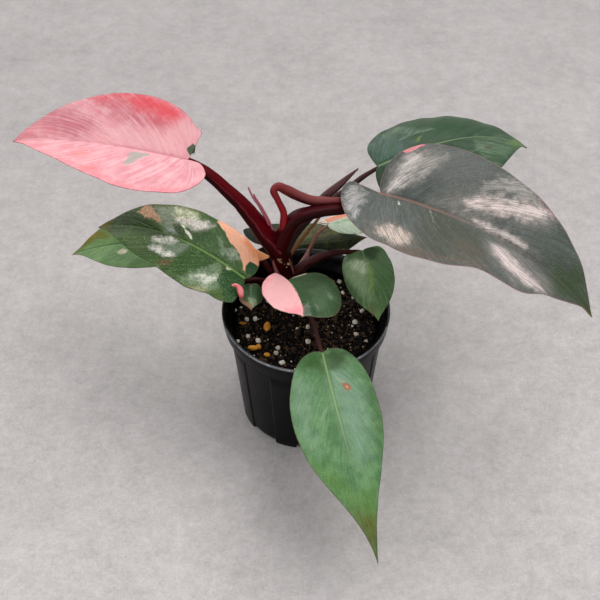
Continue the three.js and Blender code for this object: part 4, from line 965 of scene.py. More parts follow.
# each route's points, from its root on, and its radii, spread evenly along it
STALKS = {
    "plant_stem": (
        [(-18, 35, 84), (-18, 35, 98), (-18, 34.5, 116), (-20, 33, 136), (-22, 32, 148),
         (-22.5, 31.5, 157)], [8.5, 8.5, 9.5, 8, 9, 7, 3]),
    "pink_leaf": (
        [(-21, 31, 142), (-29, 33, 153), (-39, 38, 167), (-49, 43, 179), (-61, 48, 190), (-75, 54, 201),
         (-88, 60, 208)], [8, 7.6, 6.6, 5.6, 5, 4.4]),
    "large_leaf": (
        [(-20, 31, 148), (-15, 32, 162), (-7, 34, 173), (3, 37, 175), (14, 40, 175), (28, 43, 174),
         (42, 46, 177), (56, 48, 185)], [7, 6.4, 5.6, 4.8, 4.2, 3.6]),
    "back_leaf": (
        [(-16, 35, 138), (-11, 42, 144), (-2, 50, 151), (11, 62, 157), (23, 70, 161), (34, 77, 165),
         (44, 84, 169), (56, 90, 175)], [4.4, 3.6, 2.9, 2.4, 2.2, 2.1]),
    "side_leaf": (
        [(-16, 34, 102), (-11, 33, 110), (-5, 34, 118), (3, 35, 125), (12, 36, 130), (23, 39, 131),
         (34, 43, 128), (44, 42, 130)], [4.6, 4.4, 4, 3.4, 2.6, 2.1]),
    "marbled_leaf": (
        [(-17, 34, 101), (-24, 30, 107), (-32, 25, 113), (-39, 19, 121), (-47, 12, 130)],
        [3.4, 3, 2.7, 2.4]),
    "under_leaf": (
        [(-20, 36, 101), (-28, 42, 107), (-36, 50, 114), (-50, 57, 118), (-75, 63, 118), (-104, 68, 113)],
        [2.8, 2.4, 2, 1.9, 1.8]),
    "shaded_leaf": (
        [(-11, 36, 108), (-6, 40, 112), (-2, 43, 118), (2, 45, 126), (6, 48, 134), (10, 51, 141),
         (18, 56, 146)], [2.8, 2.2, 1.7, 1.5, 1.4]),
    "hanging_leaf": (
        [(-15, 29, 99), (-8, 20, 98), (0, 7, 98), (5, -4, 100), (8, -22, 104), (10, -41, 112),
         (12, -53, 119)], [2.6, 2.2, 2, 2, 2, 2]),
    "half_pink_leaf": (
        [(-17, 30, 106), (-18, 22, 112), (-17, 15, 120), (-15, 9, 128), (-13.5, 6.5, 133.5)],
        [2.2, 1.8, 1.5]),
    "tiny_leaf": (
        [(-21, 29, 98), (-30, 20, 101), (-38, 14, 110), (-42, 11, 119), (-42, 9, 126)], [1.7, 1.4, 1.2, 1]),
    "old_leaf": (
        [(-21, 40, 105), (-25, 50, 114), (-29, 62, 118), (-32, 71, 114), (-33, 76, 107), (-32, 77, 101)],
        [2.8, 2.2, 2, 1.9]),
    "bent_sheath": (
        [(-18, 31, 158), (-17, 32, 170), (-17, 34, 179), (-21, 36, 189), (-24, 38, 197), (-21, 39, 200),
         (-15, 40, 196), (-6, 42, 188), (4, 43.5, 182), (15, 46, 179), (26, 49, 176), (34, 52, 172)],
        [3.6, 3.3, 2.9, 2.6, 3.4, 4.2, 4.3, 4.2, 4, 3.4, 1]),
    "new_leaf_spear": (
        [(-17, 34, 151), (-9, 41, 158), (-1, 47, 163), (8, 51, 169), (15, 53.5, 177), (24, 56, 185),
         (33, 58, 194), (39, 60, 199)], [3, 3.2, 3.4, 3.6, 3.6, 3.2, 2, 0.5]),
    "pink_sheath": (
        [(-26, 35, 158), (-29, 37, 168), (-34, 39, 179), (-39, 40, 189), (-42, 41, 197)],
        [2, 1.7, 1.3, 1.1, 1.3]),
    "dry_sheath": (
        [(-16, 37, 124), (-9, 42, 132), (-1, 48, 141), (9, 56, 150), (13, 60, 154)], [2, 1.3, 1.1, 1, 0.6]),
    "pink_bud": (
        [(-48.2, -2, 124.1), (-48.8, -5.2, 130.8), (-50.2, -2.1, 134.2), (-52.8, -0.9, 136.5),
         (-55.8, -0.9, 136)], [0.8, 1.3, 2.1, 2.3, 1.6, 0.9]),
}


def smooth_line(points, count):
    """Evenly spaced points and tangents on a centripetal Catmull-Rom curve."""
    p = np.array(points, float)
    p = np.vstack([2 * p[0] - p[1], p, 2 * p[-1] - p[-2]])
    found = []
    for i in range(1, len(p) - 2):
        a, b, c, d = p[i - 1 : i + 3]
        k = np.maximum(np.linalg.norm(np.diff(p[i - 1 : i + 3], axis=0), axis=1) ** 0.5, 1e-4)
        first = ((b - a) / k[0] - (c - a) / (k[0] + k[1]) + (c - b) / k[1]) * k[1]
        second = ((c - b) / k[1] - (d - b) / (k[1] + k[2]) + (d - c) / k[2]) * k[1]
        t = np.linspace(0, 1, 41)[:-1, None]
        found.append(
            (2 * t**3 - 3 * t**2 + 1) * b + (t**3 - 2 * t**2 + t) * first
            + (3 * t**2 - 2 * t**3) * c + (t**3 - t**2) * second
        )
    line = np.vstack(found + [p[-2:-1]])
    walked = np.concatenate([[0], np.cumsum(np.linalg.norm(np.diff(line, axis=0), axis=1))])
    at = np.linspace(0, walked[-1], count)
    line = np.stack([np.interp(at, walked, line[:, k]) for k in range(3)], -1)
    return line, unit(np.gradient(line, axis=0)), at


def tube(points, radii, sides, count=None, groove=0.0, wide=1.0, up=(0, 0, 1), bumps=0.0, seed=1,
         section=None):
    """Points, faces and stalk attribute of a closed tube, whose groove runs on its upper side.

    section gives the radius round the tube, as a share, from the angle off the upper side.
    """
    length = sum(np.linalg.norm(np.subtract(a, b)) for a, b in zip(points, points[1:]))
    count = count or max(12, round(length / 1.6))
    line, tangent, at = smooth_line(points, count)
    radius = np.interp(at / at[-1] * (len(radii) - 1), np.arange(len(radii)), radii)
    radius = np.convolve(np.pad(radius, 3, mode="edge"), np.ones(7) / 7, "valid")
    up = np.asarray(up, float)
    upward = unit(up - tangent * (tangent @ up)[:, None])
    side = np.cross(tangent, upward)
    angle = 2 * math.pi * np.arange(sides) / sides
    off = np.abs((angle + math.pi) % (2 * math.pi) - math.pi)  # from the upper side
    shape = 1 - groove * bell(off, 0, 0.5) + 0.35 * groove * bell(off, 0.85, 0.28)
    if section is not None:
        shape = section(angle)
    grow = radius[:, None] * shape
    if bumps:
        grow = grow + bumps * lumps(at[:, None] + 50, off * 6 + 50, 5, seed)
    round_it = upward[:, None] * np.cos(angle)[:, None] + side[:, None] * (wide * np.sin(angle))[:, None]
    cap = 0.3 * tangent * radius[:, None]
    rings = line[:, None] + round_it * grow[..., None]
    points, faces = closed_skin(rings, line[0] - cap[0], line[-1] + cap[-1])
    stalk = np.stack(np.broadcast_arrays(at[:, None], off, 0.0), -1).reshape(-1, 3)
    return points, faces, np.vstack([stalk, [at[0], 1.5, 0], [at[-1], 1.5, 0]])


def stalk_piece(name, skin, node, slot, routes, **form):
    """One piece of tubes along routes, each of them points and radii."""
    points, faces, stalk = join([tube(line, radii, **form) for line, radii in routes])
    make_piece(name, points, faces, [skin], node, slot, {"stalk": stalk})


# ---------------------------------------------------------------- leaves and their petioles

SLOTS = {
    "pink_leaf": "pink_blade", "marbled_leaf": "marbled_blade", "half_pink_leaf": "half_pink_blade",
    "shaded_leaf": "pale_blade", "old_leaf": "old_blade", "large_leaf": "silvery_blade",
}

maroon = petiole_skin("maroon petiole", "180303", "2e0809", "500f18", 0.36, 3.0, 0.55, 0.08,
                      root=("340205", 30))
crimson = petiole_skin("crimson petiole", "220205", "360408", "5a020c", 0.36, 5.0, 0.85, 0.05, "74262e",
                       ("2c0205", 16))
dusky = petiole_skin("dusky petiole", "33191a", "50302c", "664440", 0.42, 7.0, 0.4)
plum = petiole_skin("plum petiole", "240c0c", "421b18", "54282a", 0.38, 27.0, 0.5, root=("2a0406", 12))
rosy = petiole_skin("rosy petiole", "6d4038", "93675a", "b08376", 0.42, 8.0, 0.5)
brown = petiole_skin("brown petiole", "231413", "38211f", "472c29", 0.42, 21.0, 0.4)
SKINS = {"pink_leaf": crimson, "old_leaf": dusky, "back_leaf": brown, "hanging_leaf": dusky,
         "half_pink_leaf": dusky, "shaded_leaf": rosy, "side_leaf": plum}

for name, leaf in LEAVES.items():
    look = LOOKS[name]
    blade(name + "_blade", leaf, look, leaf_material(name.replace("_", " "), leaf, look), name,
          SLOTS.get(name, "green_blade"))
    # the petiole runs on under the blade as the midrib's thick start: distances ahead of the
    # blade's base and under it
    points, radii = STALKS[name]
    midrib = Midrib(leaf)
    grow = min(1, max(0.35, leaf["length"] / FULL_LEAF))
    under = midrib.frame(np.array([0.0]))[1][0]
    r = radii[-1]
    run = [(0, r * 0.75 + 0.2), (7, r * 0.62 + 0.3), (16, r * 0.4 + 0.3)]
    run = [leaf["base"] + midrib.direction(0.0) * ahead * grow - under * drop for ahead, drop in run]
    route = points[:-1] + run, radii + [r * 0.75, r * 0.4]
    stalk_piece(name + "_petiole", SKINS.get(name, maroon), name, "stem", [route],
                sides=28, groove=0.16, bumps=0.05 * r, seed=len(name))

# ---------------------------------------------------------------- folded corners of two leaves


def flap(name, node, slot, corners, material):
    """A thin three-cornered scrap under a blade's right half. corners: along, out, drop."""
    leaf = LEAVES[node]
    midrib = Midrib(leaf)
    ends, ups = [], []
    for along, out, drop in corners:
        place, off = np.array([float(along)]), np.array([float(out)])
        up = midrib.frame(place / leaf["length"])[1][0]
        ends.append(blade_point(leaf, midrib, place, off, -1)[0] - up * (drop + 0.45))
        ups.append(up)
    count = 30  # triangles along a side
    spots = [(i, j) for i in range(count + 1) for j in range(count + 1 - i)]
    number = {spot: k for k, spot in enumerate(spots)}
    weights = np.array([[i / count, j / count, 1 - (i + j) / count] for i, j in spots])
    up = unit(np.mean(ups, axis=0))
    curl = 0.9 * np.sin(math.pi * weights[:, 0]) * np.sin(math.pi * weights[:, 1])
    middle = weights @ np.array(ends) - up * curl[:, None]
    upper = []
    for i, j in spots:
        if i + j < count:
            upper.append([number[i, j], number[i + 1, j], number[i, j + 1]])
        if i + j < count - 1:
            upper.append([number[i + 1, j], number[i + 1, j + 1], number[i, j + 1]])
    total = len(spots)
    faces = upper + [[k + total for k in face] for face in upper]
    steps = range(count)
    rim = [(i, 0) for i in steps] + [(count - k, k) for k in steps] + [(0, count - k) for k in steps]
    for a, b in zip(rim, rim[1:] + rim[:1]):
        faces.append([number[a], number[b], number[b] + total, number[a] + total])
    points = np.vstack([middle + up * 0.25, middle - up * 0.25])
    make_piece(name, points, faces, [material], node, slot, {"corner": np.vstack([weights, weights])})


def flap_material(name, inner, outer, edge, width):
    """inner at the first corner, outer far from it, edge along the margins."""
    s = Shader(name)
    u, v, w = s.attribute("corner")
    wander = s.noise(s.place(), 0.5, 4.0, 0.65)
    grains = s.noise(s.place(), 1.4, 3.0, 0.7)
    skin = s.two_tone(s.add(u, s.sway(wander, 0.6)), 0.1, 0.7, (outer, inner))
    near = s.math("MINIMUM", s.math("MINIMUM", u, v), w)
    skin = s.paint(skin, s.step(s.add(near, s.sway(wander, 0.12)), 0.3 * width, width, 1.0, 0.0), edge)
    s.set(
        Base_Color=s.scale(skin, s.add(0.75, s.times(grains, 0.5))),
        Roughness=s.add(s.times(grains, 0.2), 0.35),
        Normal=s.bump(s.add(wander, grains), 0.3, 0.9),
    )
    return s.material


flap("marbled_leaf_fold", "marbled_leaf", "marbled_blade", ((2, 18, 0.2), (-5.5, 35, 1), (9, 30, 0.2)),
     flap_material("orange fold", "d98a4e", "e8995c", "f0b488", 0.05))
flap("pink_leaf_fold", "pink_leaf", "pink_blade", ((2.5, 4, 0.2), (-3.6, 12.4, 0.5), (-4.4, 5.5, 0.5)),
     flap_material("green fold", "4c6f50", "35553b", "d9d5cf", 0.14))

# ---------------------------------------------------------------- stem and sheaths

skin = petiole_skin("scarred stem", "180203", "2c0506", "3a0809", 0.45, 9.0, 0.4, 0.06)
stalk_piece("plant_stem_body", skin, "plant_stem", "stem", [STALKS["plant_stem"]],
            sides=48, count=90, up=(0, -1, 0), bumps=0.45, seed=4)

# the edges of old leaf scars on the stem's front, and a small pale sheath on a petiole
SCARS = [
    ([(-24.9, 27.2, 137), (-24.3, 26.6, 131), (-22.7, 25.8, 124), (-20.0, 25.4, 117)], [0.6, 1.6, 1.8, 0.9]),
    ([(-13.0, 27.2, 136), (-11.8, 28.0, 130), (-10.4, 29.2, 123), (-9.6, 30.6, 116)], [0.3, 0.9, 1.0, 0.5]),
]
PALE_SHEATH = ([(-6.2, 39.2, 111.2), (-3.4, 41.4, 115.4), (-0.6, 42.9, 120.2), (1.6, 44.2, 125.4),
                (2.6, 44.9, 128.4)], [2.6, 2.7, 2.2, 1.7, 0.8])
skin = petiole_skin("scar edges", "4a1a20", "7c4046", "a8686a", 0.5, 23.0, 0.5)
stalk_piece("stem_scars", skin, "plant_stem", "stem", SCARS,
            sides=16, count=30, up=(0, -1, 0.3), bumps=0.25, seed=14)
skin = petiole_skin("pale sheath", "a2605c", "cf918a", "eab6ab", 0.42, 25.0, 0.6, 0.3)
stalk_piece("pale_sheath", skin, "shaded_leaf", "stem", [PALE_SHEATH],
            sides=24, count=40, up=(0, -0.8, 0.6), groove=0.2, seed=15)

skin = petiole_skin("bent sheath", "340c0d", "561c1b", "8a4644", 0.32, 11.0, 0.7, 0.2, root=("800414", 66))
stalk_piece("bent_sheath_body", skin, "bent_sheath", "red_sheath", [STALKS["bent_sheath"]],
            sides=32, count=110, up=(0.3, -0.4, 1), wide=0.92, bumps=0.12, seed=6,
            section=lambda a: 1 + 0.05 * np.cos(2 * a))

skin = petiole_skin("new leaf spear", "260e10", "442022", "6a4242", 0.34, 13.0, 0.5, 0.2, "8a6260")
stalk_piece("new_leaf_spear_body", skin, "new_leaf_spear", "dark_sheath", [STALKS["new_leaf_spear"]],
            sides=36, count=90, up=(-0.4, -0.3, 1), seed=8,
            section=lambda a: 1 - 0.13 * bell(a, 1.1, 0.16) + 0.05 * bell(a, 1.4, 0.2))

# the pink sheath is two strands, and the last stretch of the second is short
strands = []
for shift, lean, thick, last in ((-0.8, -0.5, 0.75, 1.0), (0.8, 0.6, 0.6, 0.3)):
    line = np.array(STALKS["pink_sheath"][0], float)
    rise = np.linspace(0, 1, len(line))
    line += np.outer(shift * (1 - 0.5 * rise) + lean * rise, (1, 0, 0)) - (0, 0.2 * shift, 0)
    line[-1] = line[-2] + (line[-1] - line[-2]) * last
    strands.append((line, [thick * part for part in (1.3, 1.1, 1, 1, 0.8)]))
skin = petiole_skin("pink sheath", "5e0c1c", "9c3848", "de929c", 0.4, 15.0, 0.7, 0.2)
stalk_piece("pink_sheath_body", skin, "pink_sheath", "pink_growth", strands,
            sides=16, count=50, up=(0.7, -0.7, 0), wide=1.2, groove=0.25, bumps=0.08, seed=9)

skin = petiole_skin("dry sheath", "5c3a22", "8a6038", "b07f4e", 0.6, 17.0, 0.4)
stalk_piece("dry_sheath_body", skin, "dry_sheath", "dry_growth", [STALKS["dry_sheath"]],
            sides=20, count=50, wide=1.3, groove=0.25, seed=10)

skin = petiole_skin("pink bud", "d8505a", "f48a8c", "fba9a4", 0.42, 19.0, 0.5, 0.3)
stalk_piece("pink_bud_body", skin, "pink_bud", "pink_growth", [STALKS["pink_bud"]],
            sides=28, count=50, bumps=0.35, seed=12, section=lambda a: 1 - 0.2 * bell(a, 2.2, 0.25))

# ---------------------------------------------------------------- pot

POT_HEIGHT, RIM_RADIUS, RIM_DEPTH, RIM_TAPER, LIP_WIDTH = 110.6, 65, 12.6, 1.5, 2.6
BODY_TOP, BODY_FOOT, WALL = 58.8, 51.2, 1.8
RIBS, RIB_HEIGHT, FIRST_RIB = 8, 0.9, -108
RIB_HALF, RIB_EDGE = 9, 1.4  # degrees
RIB_LOW, RIB_HIGH = 2, 82  # the heights between which the ribs are full
FOOT, FLOOR, HUB, DRAIN, DRAIN_CIRCLE = 2.6, 2, 13, 4, 36
DRAIN_DEPTH = 20
SLOPE_END = 1.5  # the inner wall's slope ends this far under the rim band
POT_SIDES, SOIL_SIDES = 720, 400


def pot_material(name, gloss, rough, dark="050506", light="0c0c0d"):
    s = Shader(name)
    x, y, z = s.parts(s.place())
    film = s.noise(s.place(), 0.05, 3.0, 0.6)
    grain = s.noise(s.place(), 3.5, 2.0, 0.6)
    drawn = s.noise(s.vector(x, y, s.times(z, 0.06)), 0.8, 4.0, 0.65)
    dust = s.step(s.noise(s.place(), 1.1, 4.0, 0.75), 0.6, 0.78)
    skin = s.two_tone(s.blend(film, 0.6, drawn, 0.4), 0.35, 0.7, (dark, light))
    s.set(
        Base_Color=s.paint(skin, s.times(dust, 0.08), "5a5552"),
        Roughness=s.add(s.times(drawn, 0.25), rough),
        Normal=s.bump(s.blend(drawn, 0.6, grain, 0.3), 0.12, 0.6),
        Specular_IOR_Level=gloss,
    )
    return s.material


def ring(radius, turn, height):
    """Points round the pot's axis."""
    return np.stack([radius * np.cos(turn), radius * np.sin(turn), height + np.zeros(len(turn))], -1)


def pot():
    pitch = 360 / RIBS
    angle = FIRST_RIB - pitch / 2 + np.arange(POT_SIDES) * 360 / POT_SIDES
    off = np.abs((angle - FIRST_RIB + pitch / 2) % pitch - pitch / 2)
    rib = 1 - smooth(off, RIB_HALF, RIB_HALF + RIB_EDGE)
    proud = RIB_HEIGHT * rib
    foot = FOOT * (1 - rib)
    rim_foot = POT_HEIGHT - RIM_DEPTH
    skirt = RIM_RADIUS - RIM_TAPER
    inside = skirt - WALL
    profile = [
        (HUB, 0), (HUB + 1, 0.7), (HUB + 2, FOOT), (BODY_FOOT - 6, FOOT), (BODY_FOOT - 4.5, foot),
        (BODY_FOOT + proud - 0.9, foot), (BODY_FOOT + proud - 0.25, foot + 0.3),
        (BODY_FOOT + proud, foot + 1.2),
    ]
    for z in np.linspace(8, 78, 16):
        share = (z - RIB_LOW) / (RIB_HIGH - RIB_LOW)
        profile.append((BODY_FOOT + share * (BODY_TOP - 0.8 - BODY_FOOT) + proud, z))
    profile += [
        (BODY_TOP - 0.8 + proud, RIB_HIGH), (BODY_TOP - 0.6 + 0.8 * proud, RIB_HIGH + 2),
        (BODY_TOP - 0.4 + 0.2 * proud, RIB_HIGH + 4), (BODY_TOP - 0.2, RIB_HIGH + 6),
        (BODY_TOP, rim_foot - 0.6), (BODY_TOP + 0.5, rim_foot), (skirt - 0.5, rim_foot),
        (skirt - 0.1, rim_foot + 0.25), (skirt, rim_foot + 0.8), (RIM_RADIUS - 0.75, rim_foot + 6),
        (RIM_RADIUS - 0.2, POT_HEIGHT - 1.6), (RIM_RADIUS - 0.25, POT_HEIGHT - 0.8),
        (RIM_RADIUS - 0.55, POT_HEIGHT - 0.25), (RIM_RADIUS - 1.1, POT_HEIGHT),
        (RIM_RADIUS - LIP_WIDTH + 0.5, POT_HEIGHT), (RIM_RADIUS - LIP_WIDTH, POT_HEIGHT - 0.5),
        (inside - 0.1, rim_foot + 3.4), (inside - 0.7, rim_foot + 2.4),
        (BODY_TOP - WALL + 0.6, rim_foot - 0.8), (BODY_TOP - WALL, rim_foot - 2),
    ]
    for z in np.linspace(88, 12, 8):
        share = (z - FOOT - FLOOR) / (rim_foot - SLOPE_END - FOOT - FLOOR)
        profile.append((BODY_FOOT - WALL + share * (BODY_TOP - BODY_FOOT), z))
    profile.append((BODY_FOOT - WALL, FOOT + FLOOR))
    rings = [ring(radius, np.radians(angle), z) for radius, z in profile]
    return closed_skin(rings, (0, 0, 0), (0, 0, FOOT + FLOOR))


points, faces = pot()
first = points[[face[0] for face in faces]]
spans = np.hypot(first[:, 0], first[:, 1])
lip = (first[:, 2] > POT_HEIGHT - 2.0) & (spans > RIM_RADIUS - LIP_WIDTH - 0.1)
# painted highlight: a light grey band on the front of the lip's outer edge
painted_highlight = (first[:, 2] > POT_HEIGHT - 1.0) & (spans > RIM_RADIUS - 0.7) & (first[:, 1] < -20)
plastics = [
    pot_material("black pot plastic", 0.08, 0.2),
    pot_material("worn pot lip", 0.6, 0.06),
    pot_material("painted highlight edge", 0.9, 0.1, "1c1d20", "8e949c"),
]
pot_piece = make_piece("pot_shell", points, faces, plastics, "pot", "pot",
                       numbers=(lip.astype(int) + painted_highlight).tolist())
cutters = bmesh.new()
for k in range(RIBS):
    turn = math.radians(FIRST_RIB + k * 360 / RIBS)
    made = bmesh.ops.create_cone(cutters, cap_ends=True, segments=32, radius1=DRAIN * MM,
                                 radius2=DRAIN * MM, depth=DRAIN_DEPTH * MM)
    place = DRAIN_CIRCLE * math.cos(turn) * MM, DRAIN_CIRCLE * math.sin(turn) * MM, 0
    bmesh.ops.translate(cutters, verts=made["verts"], vec=place)
cutter_mesh = bpy.data.meshes.new("drains")
cutters.to_mesh(cutter_mesh)
cutters.free()
cutter = bpy.data.objects.new("drains", cutter_mesh)
bpy.context.scene.collection.objects.link(cutter)
cut = pot_piece.modifiers.new("drains", "BOOLEAN")
cut.operation, cut.object, cut.solver = "DIFFERENCE", cutter, "EXACT"
with bpy.context.temp_override(object=pot_piece, active_object=pot_piece, selected_objects=[pot_piece]):
    bpy.ops.object.modifier_apply(modifier="drains")
bpy.data.objects.remove(cutter)
for polygon in pot_piece.data.polygons:
    polygon.use_smooth = True
pot_piece.data.set_sharp_from_angle(angle=math.radians(40))

# ---------------------------------------------------------------- potting mix

SOIL, RELIEF = 93, 1.4


def soil_level(x, y):
    coarse = np.sin(0.31 * x + 1.3) * np.cos(0.27 * y - 0.4)
    fine = np.sin(0.83 * x - 0.7 * y) * np.cos(0.64 * y + 0.5 * x + 2)
    level = SOIL + RELIEF * (0.55 * coarse + 0.45 * fine)
    for height, size, seed in ((0.9, 3.1, 21), (0.5, 1.5, 22), (0.25, 0.9, 23)):
        level = level + height * lumps(x + 90, y + 90, size, seed)
    return level


def soil_material():
    s = Shader("dark potting mix")
    clumps = s.noise(s.place(), 0.35, 5.0, 0.7)
    crumbs = s.noise(s.place(), 1.6, 4.0, 0.7)
    x, y, z = s.parts(s.place())
    fibres = s.noise(s.vector(s.times(x, 0.5), s.times(y, 1.7), z), 1.3, 4.0, 0.7, 1.5)
    skin = s.two_tone(clumps, 0.35, 0.65, ("010000", "0b0604"))
    skin = s.paint(skin, s.times(s.step(crumbs, 0.56, 0.7), 0.6), "2e1b0e")
    skin = s.paint(skin, s.times(s.step(fibres, 0.62, 0.72), 0.6), "8a5428")
    s.set(
        Base_Color=skin,
        Roughness=s.add(s.times(crumbs, 0.3), 0.5),
        Normal=s.bump(s.add(clumps, crumbs), 1.0),
        Specular_IOR_Level=0.15,
    )
    return s.material


def soil():
    gap, bottom = 0.3, FOOT + FLOOR + 0.3
    foot = BODY_FOOT - WALL - gap
    slope = (BODY_TOP - WALL - gap - foot) / (POT_HEIGHT - RIM_DEPTH - SLOPE_END - bottom)
    top = foot + slope * (SOIL - 2 - bottom) - 0.2
    turn = np.radians(np.arange(SOIL_SIDES) * 360 / SOIL_SIDES)
    sides = (foot - 0.4, bottom), (foot, bottom + 0.5), (foot + slope * 40, bottom + 40), (top, SOIL - 2)
    rings = [ring(radius, turn, height) for radius, height in sides]
    for radius in np.linspace(top - 0.3, 1.2, 76):
        level = soil_level(radius * np.cos(turn), radius * np.sin(turn))
        rings.append(ring(radius, turn, level - 1.2 * smooth(radius, top - 2.5, top)))
    return closed_skin(rings, (0, 0, bottom), (0, 0, float(soil_level(0.0, 0.0))))


make_piece("potting_mix_bed", *soil(), [soil_material()], "potting_mix", "potting_mix")


def ball(level):
    work = bmesh.new()
    bmesh.ops.create_icosphere(work, subdivisions=level, radius=1)
    points = np.array([v.co for v in work.verts])
    faces = [[v.index for v in f.verts] for f in work.faces]
    work.free()
    return points, faces


BALLS = {level: ball(level) for level in (1, 2, 3)}
dice = np.random.RandomState(11)


def turned(points):
    """Points in a random seeded attitude."""
    q = dice.normal(size=4)
    w, x, y, z = q / np.linalg.norm(q)
    matrix = np.array([
        [1 - 2 * (y * y + z * z), 2 * (x * y - z * w), 2 * (x * z + y * w)],
        [2 * (x * y + z * w), 1 - 2 * (x * x + z * z), 2 * (y * z - x * w)],
        [2 * (x * z - y * w), 2 * (y * z + x * w), 1 - 2 * (x * x + y * y)],
    ])
    return points @ matrix.T


def grain(x, y, size, level, rough, sink, boxy):
    """A lumpy closed grain seated in the mix at x, y."""
    points, faces = BALLS[level]
    points = turned(points)
    bulge = 1 + rough * (
        lumps(points[:, 0] * 2 + dice.uniform(0, 50), points[:, 1] * 2 + 20, 1.1, 31)
        + 0.6 * lumps(points[:, 2] * 3 + dice.uniform(0, 50), points[:, 0] * 3 + 20, 1.1, 32)
    )
    points = points * bulge[:, None]
    points = np.sign(points) * np.abs(points) ** (1 - boxy)
    points = turned(points * size / 2)
    lift = -points[:, 2].min()
    points = points + (x, y, float(soil_level(x, y)) + lift * (1 - 2 * sink))
    return points, faces, np.tile(dice.uniform(size=3), (len(points), 1))


def pebble(centre, size, level, rough, shift, seed):
    """A rounder closed grain about a centre. shift picks its lumps."""
    points, faces = BALLS[level]
    wave = lumps(points[:, 0] * 2 + shift[0] + 99, points[:, 1] * 2 + shift[1] + 99, 1, seed)
    points = points * (1 + rough * wave)[:, None] * np.asarray(size) / 2 + centre
    return points, faces, np.tile([dice.uniform(), 0, 0], (len(points), 1))


def random_spot(reach=54.0):
    """A spot on the mix, away from the stem."""
    stem_x, stem_y, clear = -18, 35, 11
    while True:
        x, y = dice.uniform(-reach, reach, 2)
        if math.hypot(x, y) < reach and math.hypot(x - stem_x, y - stem_y) > clear:
            return x, y


def crumb(low, high, squeeze, level, rough, sink, boxy):
    """A grain at a random spot: its size, and how far each of its sides may be squeezed."""
    x, y = random_spot()
    return grain(x, y, dice.uniform(low, high) * dice.uniform(*squeeze, 3), level, rough, sink, boxy)


def grain_material(name, dark, light, rough, speck, bump_mm=0.25, power=1.0):
    s = Shader(name)
    tint = s.attribute("tint")[0]
    pores = s.noise(s.place(), 1.8, 4.0, 0.65)
    patches = s.step(s.noise(s.place(), 0.6, 3.0, 0.6), 0.35, 0.65)
    share = s.blend(s.math("POWER", tint, power), 0.7, patches, 0.3)
    skin = s.mix(share, colour(dark), colour(light))
    s.set(
        Base_Color=s.paint(skin, s.times(s.step(pores, 0.52, 0.7), 0.55), speck),
        Roughness=s.add(s.times(pores, 0.2), rough),
        Normal=s.bump(pores, bump_mm, 0.9),
    )
    return s.material


def grains_piece(name, parts, material, node="potting_mix", slot="potting_mix"):
    """One piece of many grains or fibres."""
    points, faces, tint = join(parts)
    make_piece(name, points, faces, [material], node, slot, {"tint": tint})


GRAIN_TOPS = SOIL + 1  # about the height at which grains are seen

# perlite grains where the photograph shows them: its pixel, right and down, and the size in mm
PERLITE_SEEN = [
    (235.5, 309.5, 2.6), (241, 308, 2.2), (247, 319, 3.6), (255, 320, 4.0), (248, 336, 3.6),
    (238, 340.5, 2.8), (258, 340, 4.6), (278, 348, 3.8), (276, 353, 3.8), (282, 363, 4.6),
    (308, 327, 4.2), (308, 342, 5.2), (297.5, 329, 2.6), (343, 293, 3.2), (353, 298, 2.6),
    (355, 322, 4.0), (356, 334, 4.0),
]
# and guessed ones, most of them under the leaves: x, y and size in mm
PERLITE_GUESSED = [
    (36, -3.6, 2.0), (44, 12, 3.0), (20, 12, 3.4), (-30, 44, 3.4), (6, 48, 3.0), (27, 44, 3.6),
    (-46, 28, 3.2), (10, 30, 3.0), (-6, 12, 3.2), (46, -20, 2.6), (24, -28, 3.4), (-8, -48, 2.8),
    (-30, 22, 2.8),
]
PERLITE = [(*seen_at_height(column, row, GRAIN_TOPS), size) for column, row, size in PERLITE_SEEN]
parts = [grain(x, y, size * dice.uniform(0.72, 1.05, 3), 3, 0.3, 0.26, 0.3)
         for x, y, size in PERLITE + PERLITE_GUESSED]
parts += [crumb(0.7, 1.5, (0.7, 1.1), 2, 0.25, 0.25, 0.1) for _ in range(46)]
grains_piece("perlite", parts, grain_material("perlite", "dccdb2", "fffaf0", 0.8, "b8a686", power=0.7))

# crumbs of dried scar on the stem's front: place and size
SCAR_CRUMBS = [
    (-21.0, 25.4, 137.4, 2.2), (-20.0, 25.1, 135.6, 2.0), (-18.8, 25.0, 134.6, 1.6),
    (-21.4, 25.6, 134.6, 1.3), (-19.2, 25.1, 137.6, 1.4), (-13.8, 26.4, 131.6, 1.9),
    (-12.9, 26.9, 130.2, 1.5), (-14.8, 26.0, 128.4, 1.3), (-16.6, 25.0, 132.6, 1.0),
]
parts = [pebble((x, y, z), size, 2, 0.3, (x, z), 51) for x, y, z, size in SCAR_CRUMBS]
skin = grain_material("scar crumbs", "4a2c1c", "c9ab78", 0.8, "3a2216", power=1.5)
grains_piece("scar_crumbs", parts, skin, "plant_stem", "stem")

# amber fertiliser grains: the photograph's pixel, right and down, and the size in mm
AMBER_SEEN = [
    (267, 328, (5.4, 9.2, 5.4)), (253, 348.5, (8.2, 4.6, 4.2)), (258.5, 347.5, (4.6, 4.8, 4.2)),
    (267, 356, (5.0, 3.6, 3.2)), (243, 323, (6.4, 3.0, 2.6)),
]
parts = []
for column, row, shape in AMBER_SEEN:
    x, y = seen_at_height(column, row, GRAIN_TOPS)
    centre = (x, y, float(soil_level(x, y)) + shape[2] * 0.3)
    parts.append(pebble(centre, shape, 3, 0.12, (x, y), 41))
grains_piece("amber_grains", parts, grain_material("amber grains", "c07010", "f2a528", 0.22, "ffdc86", 0.15))

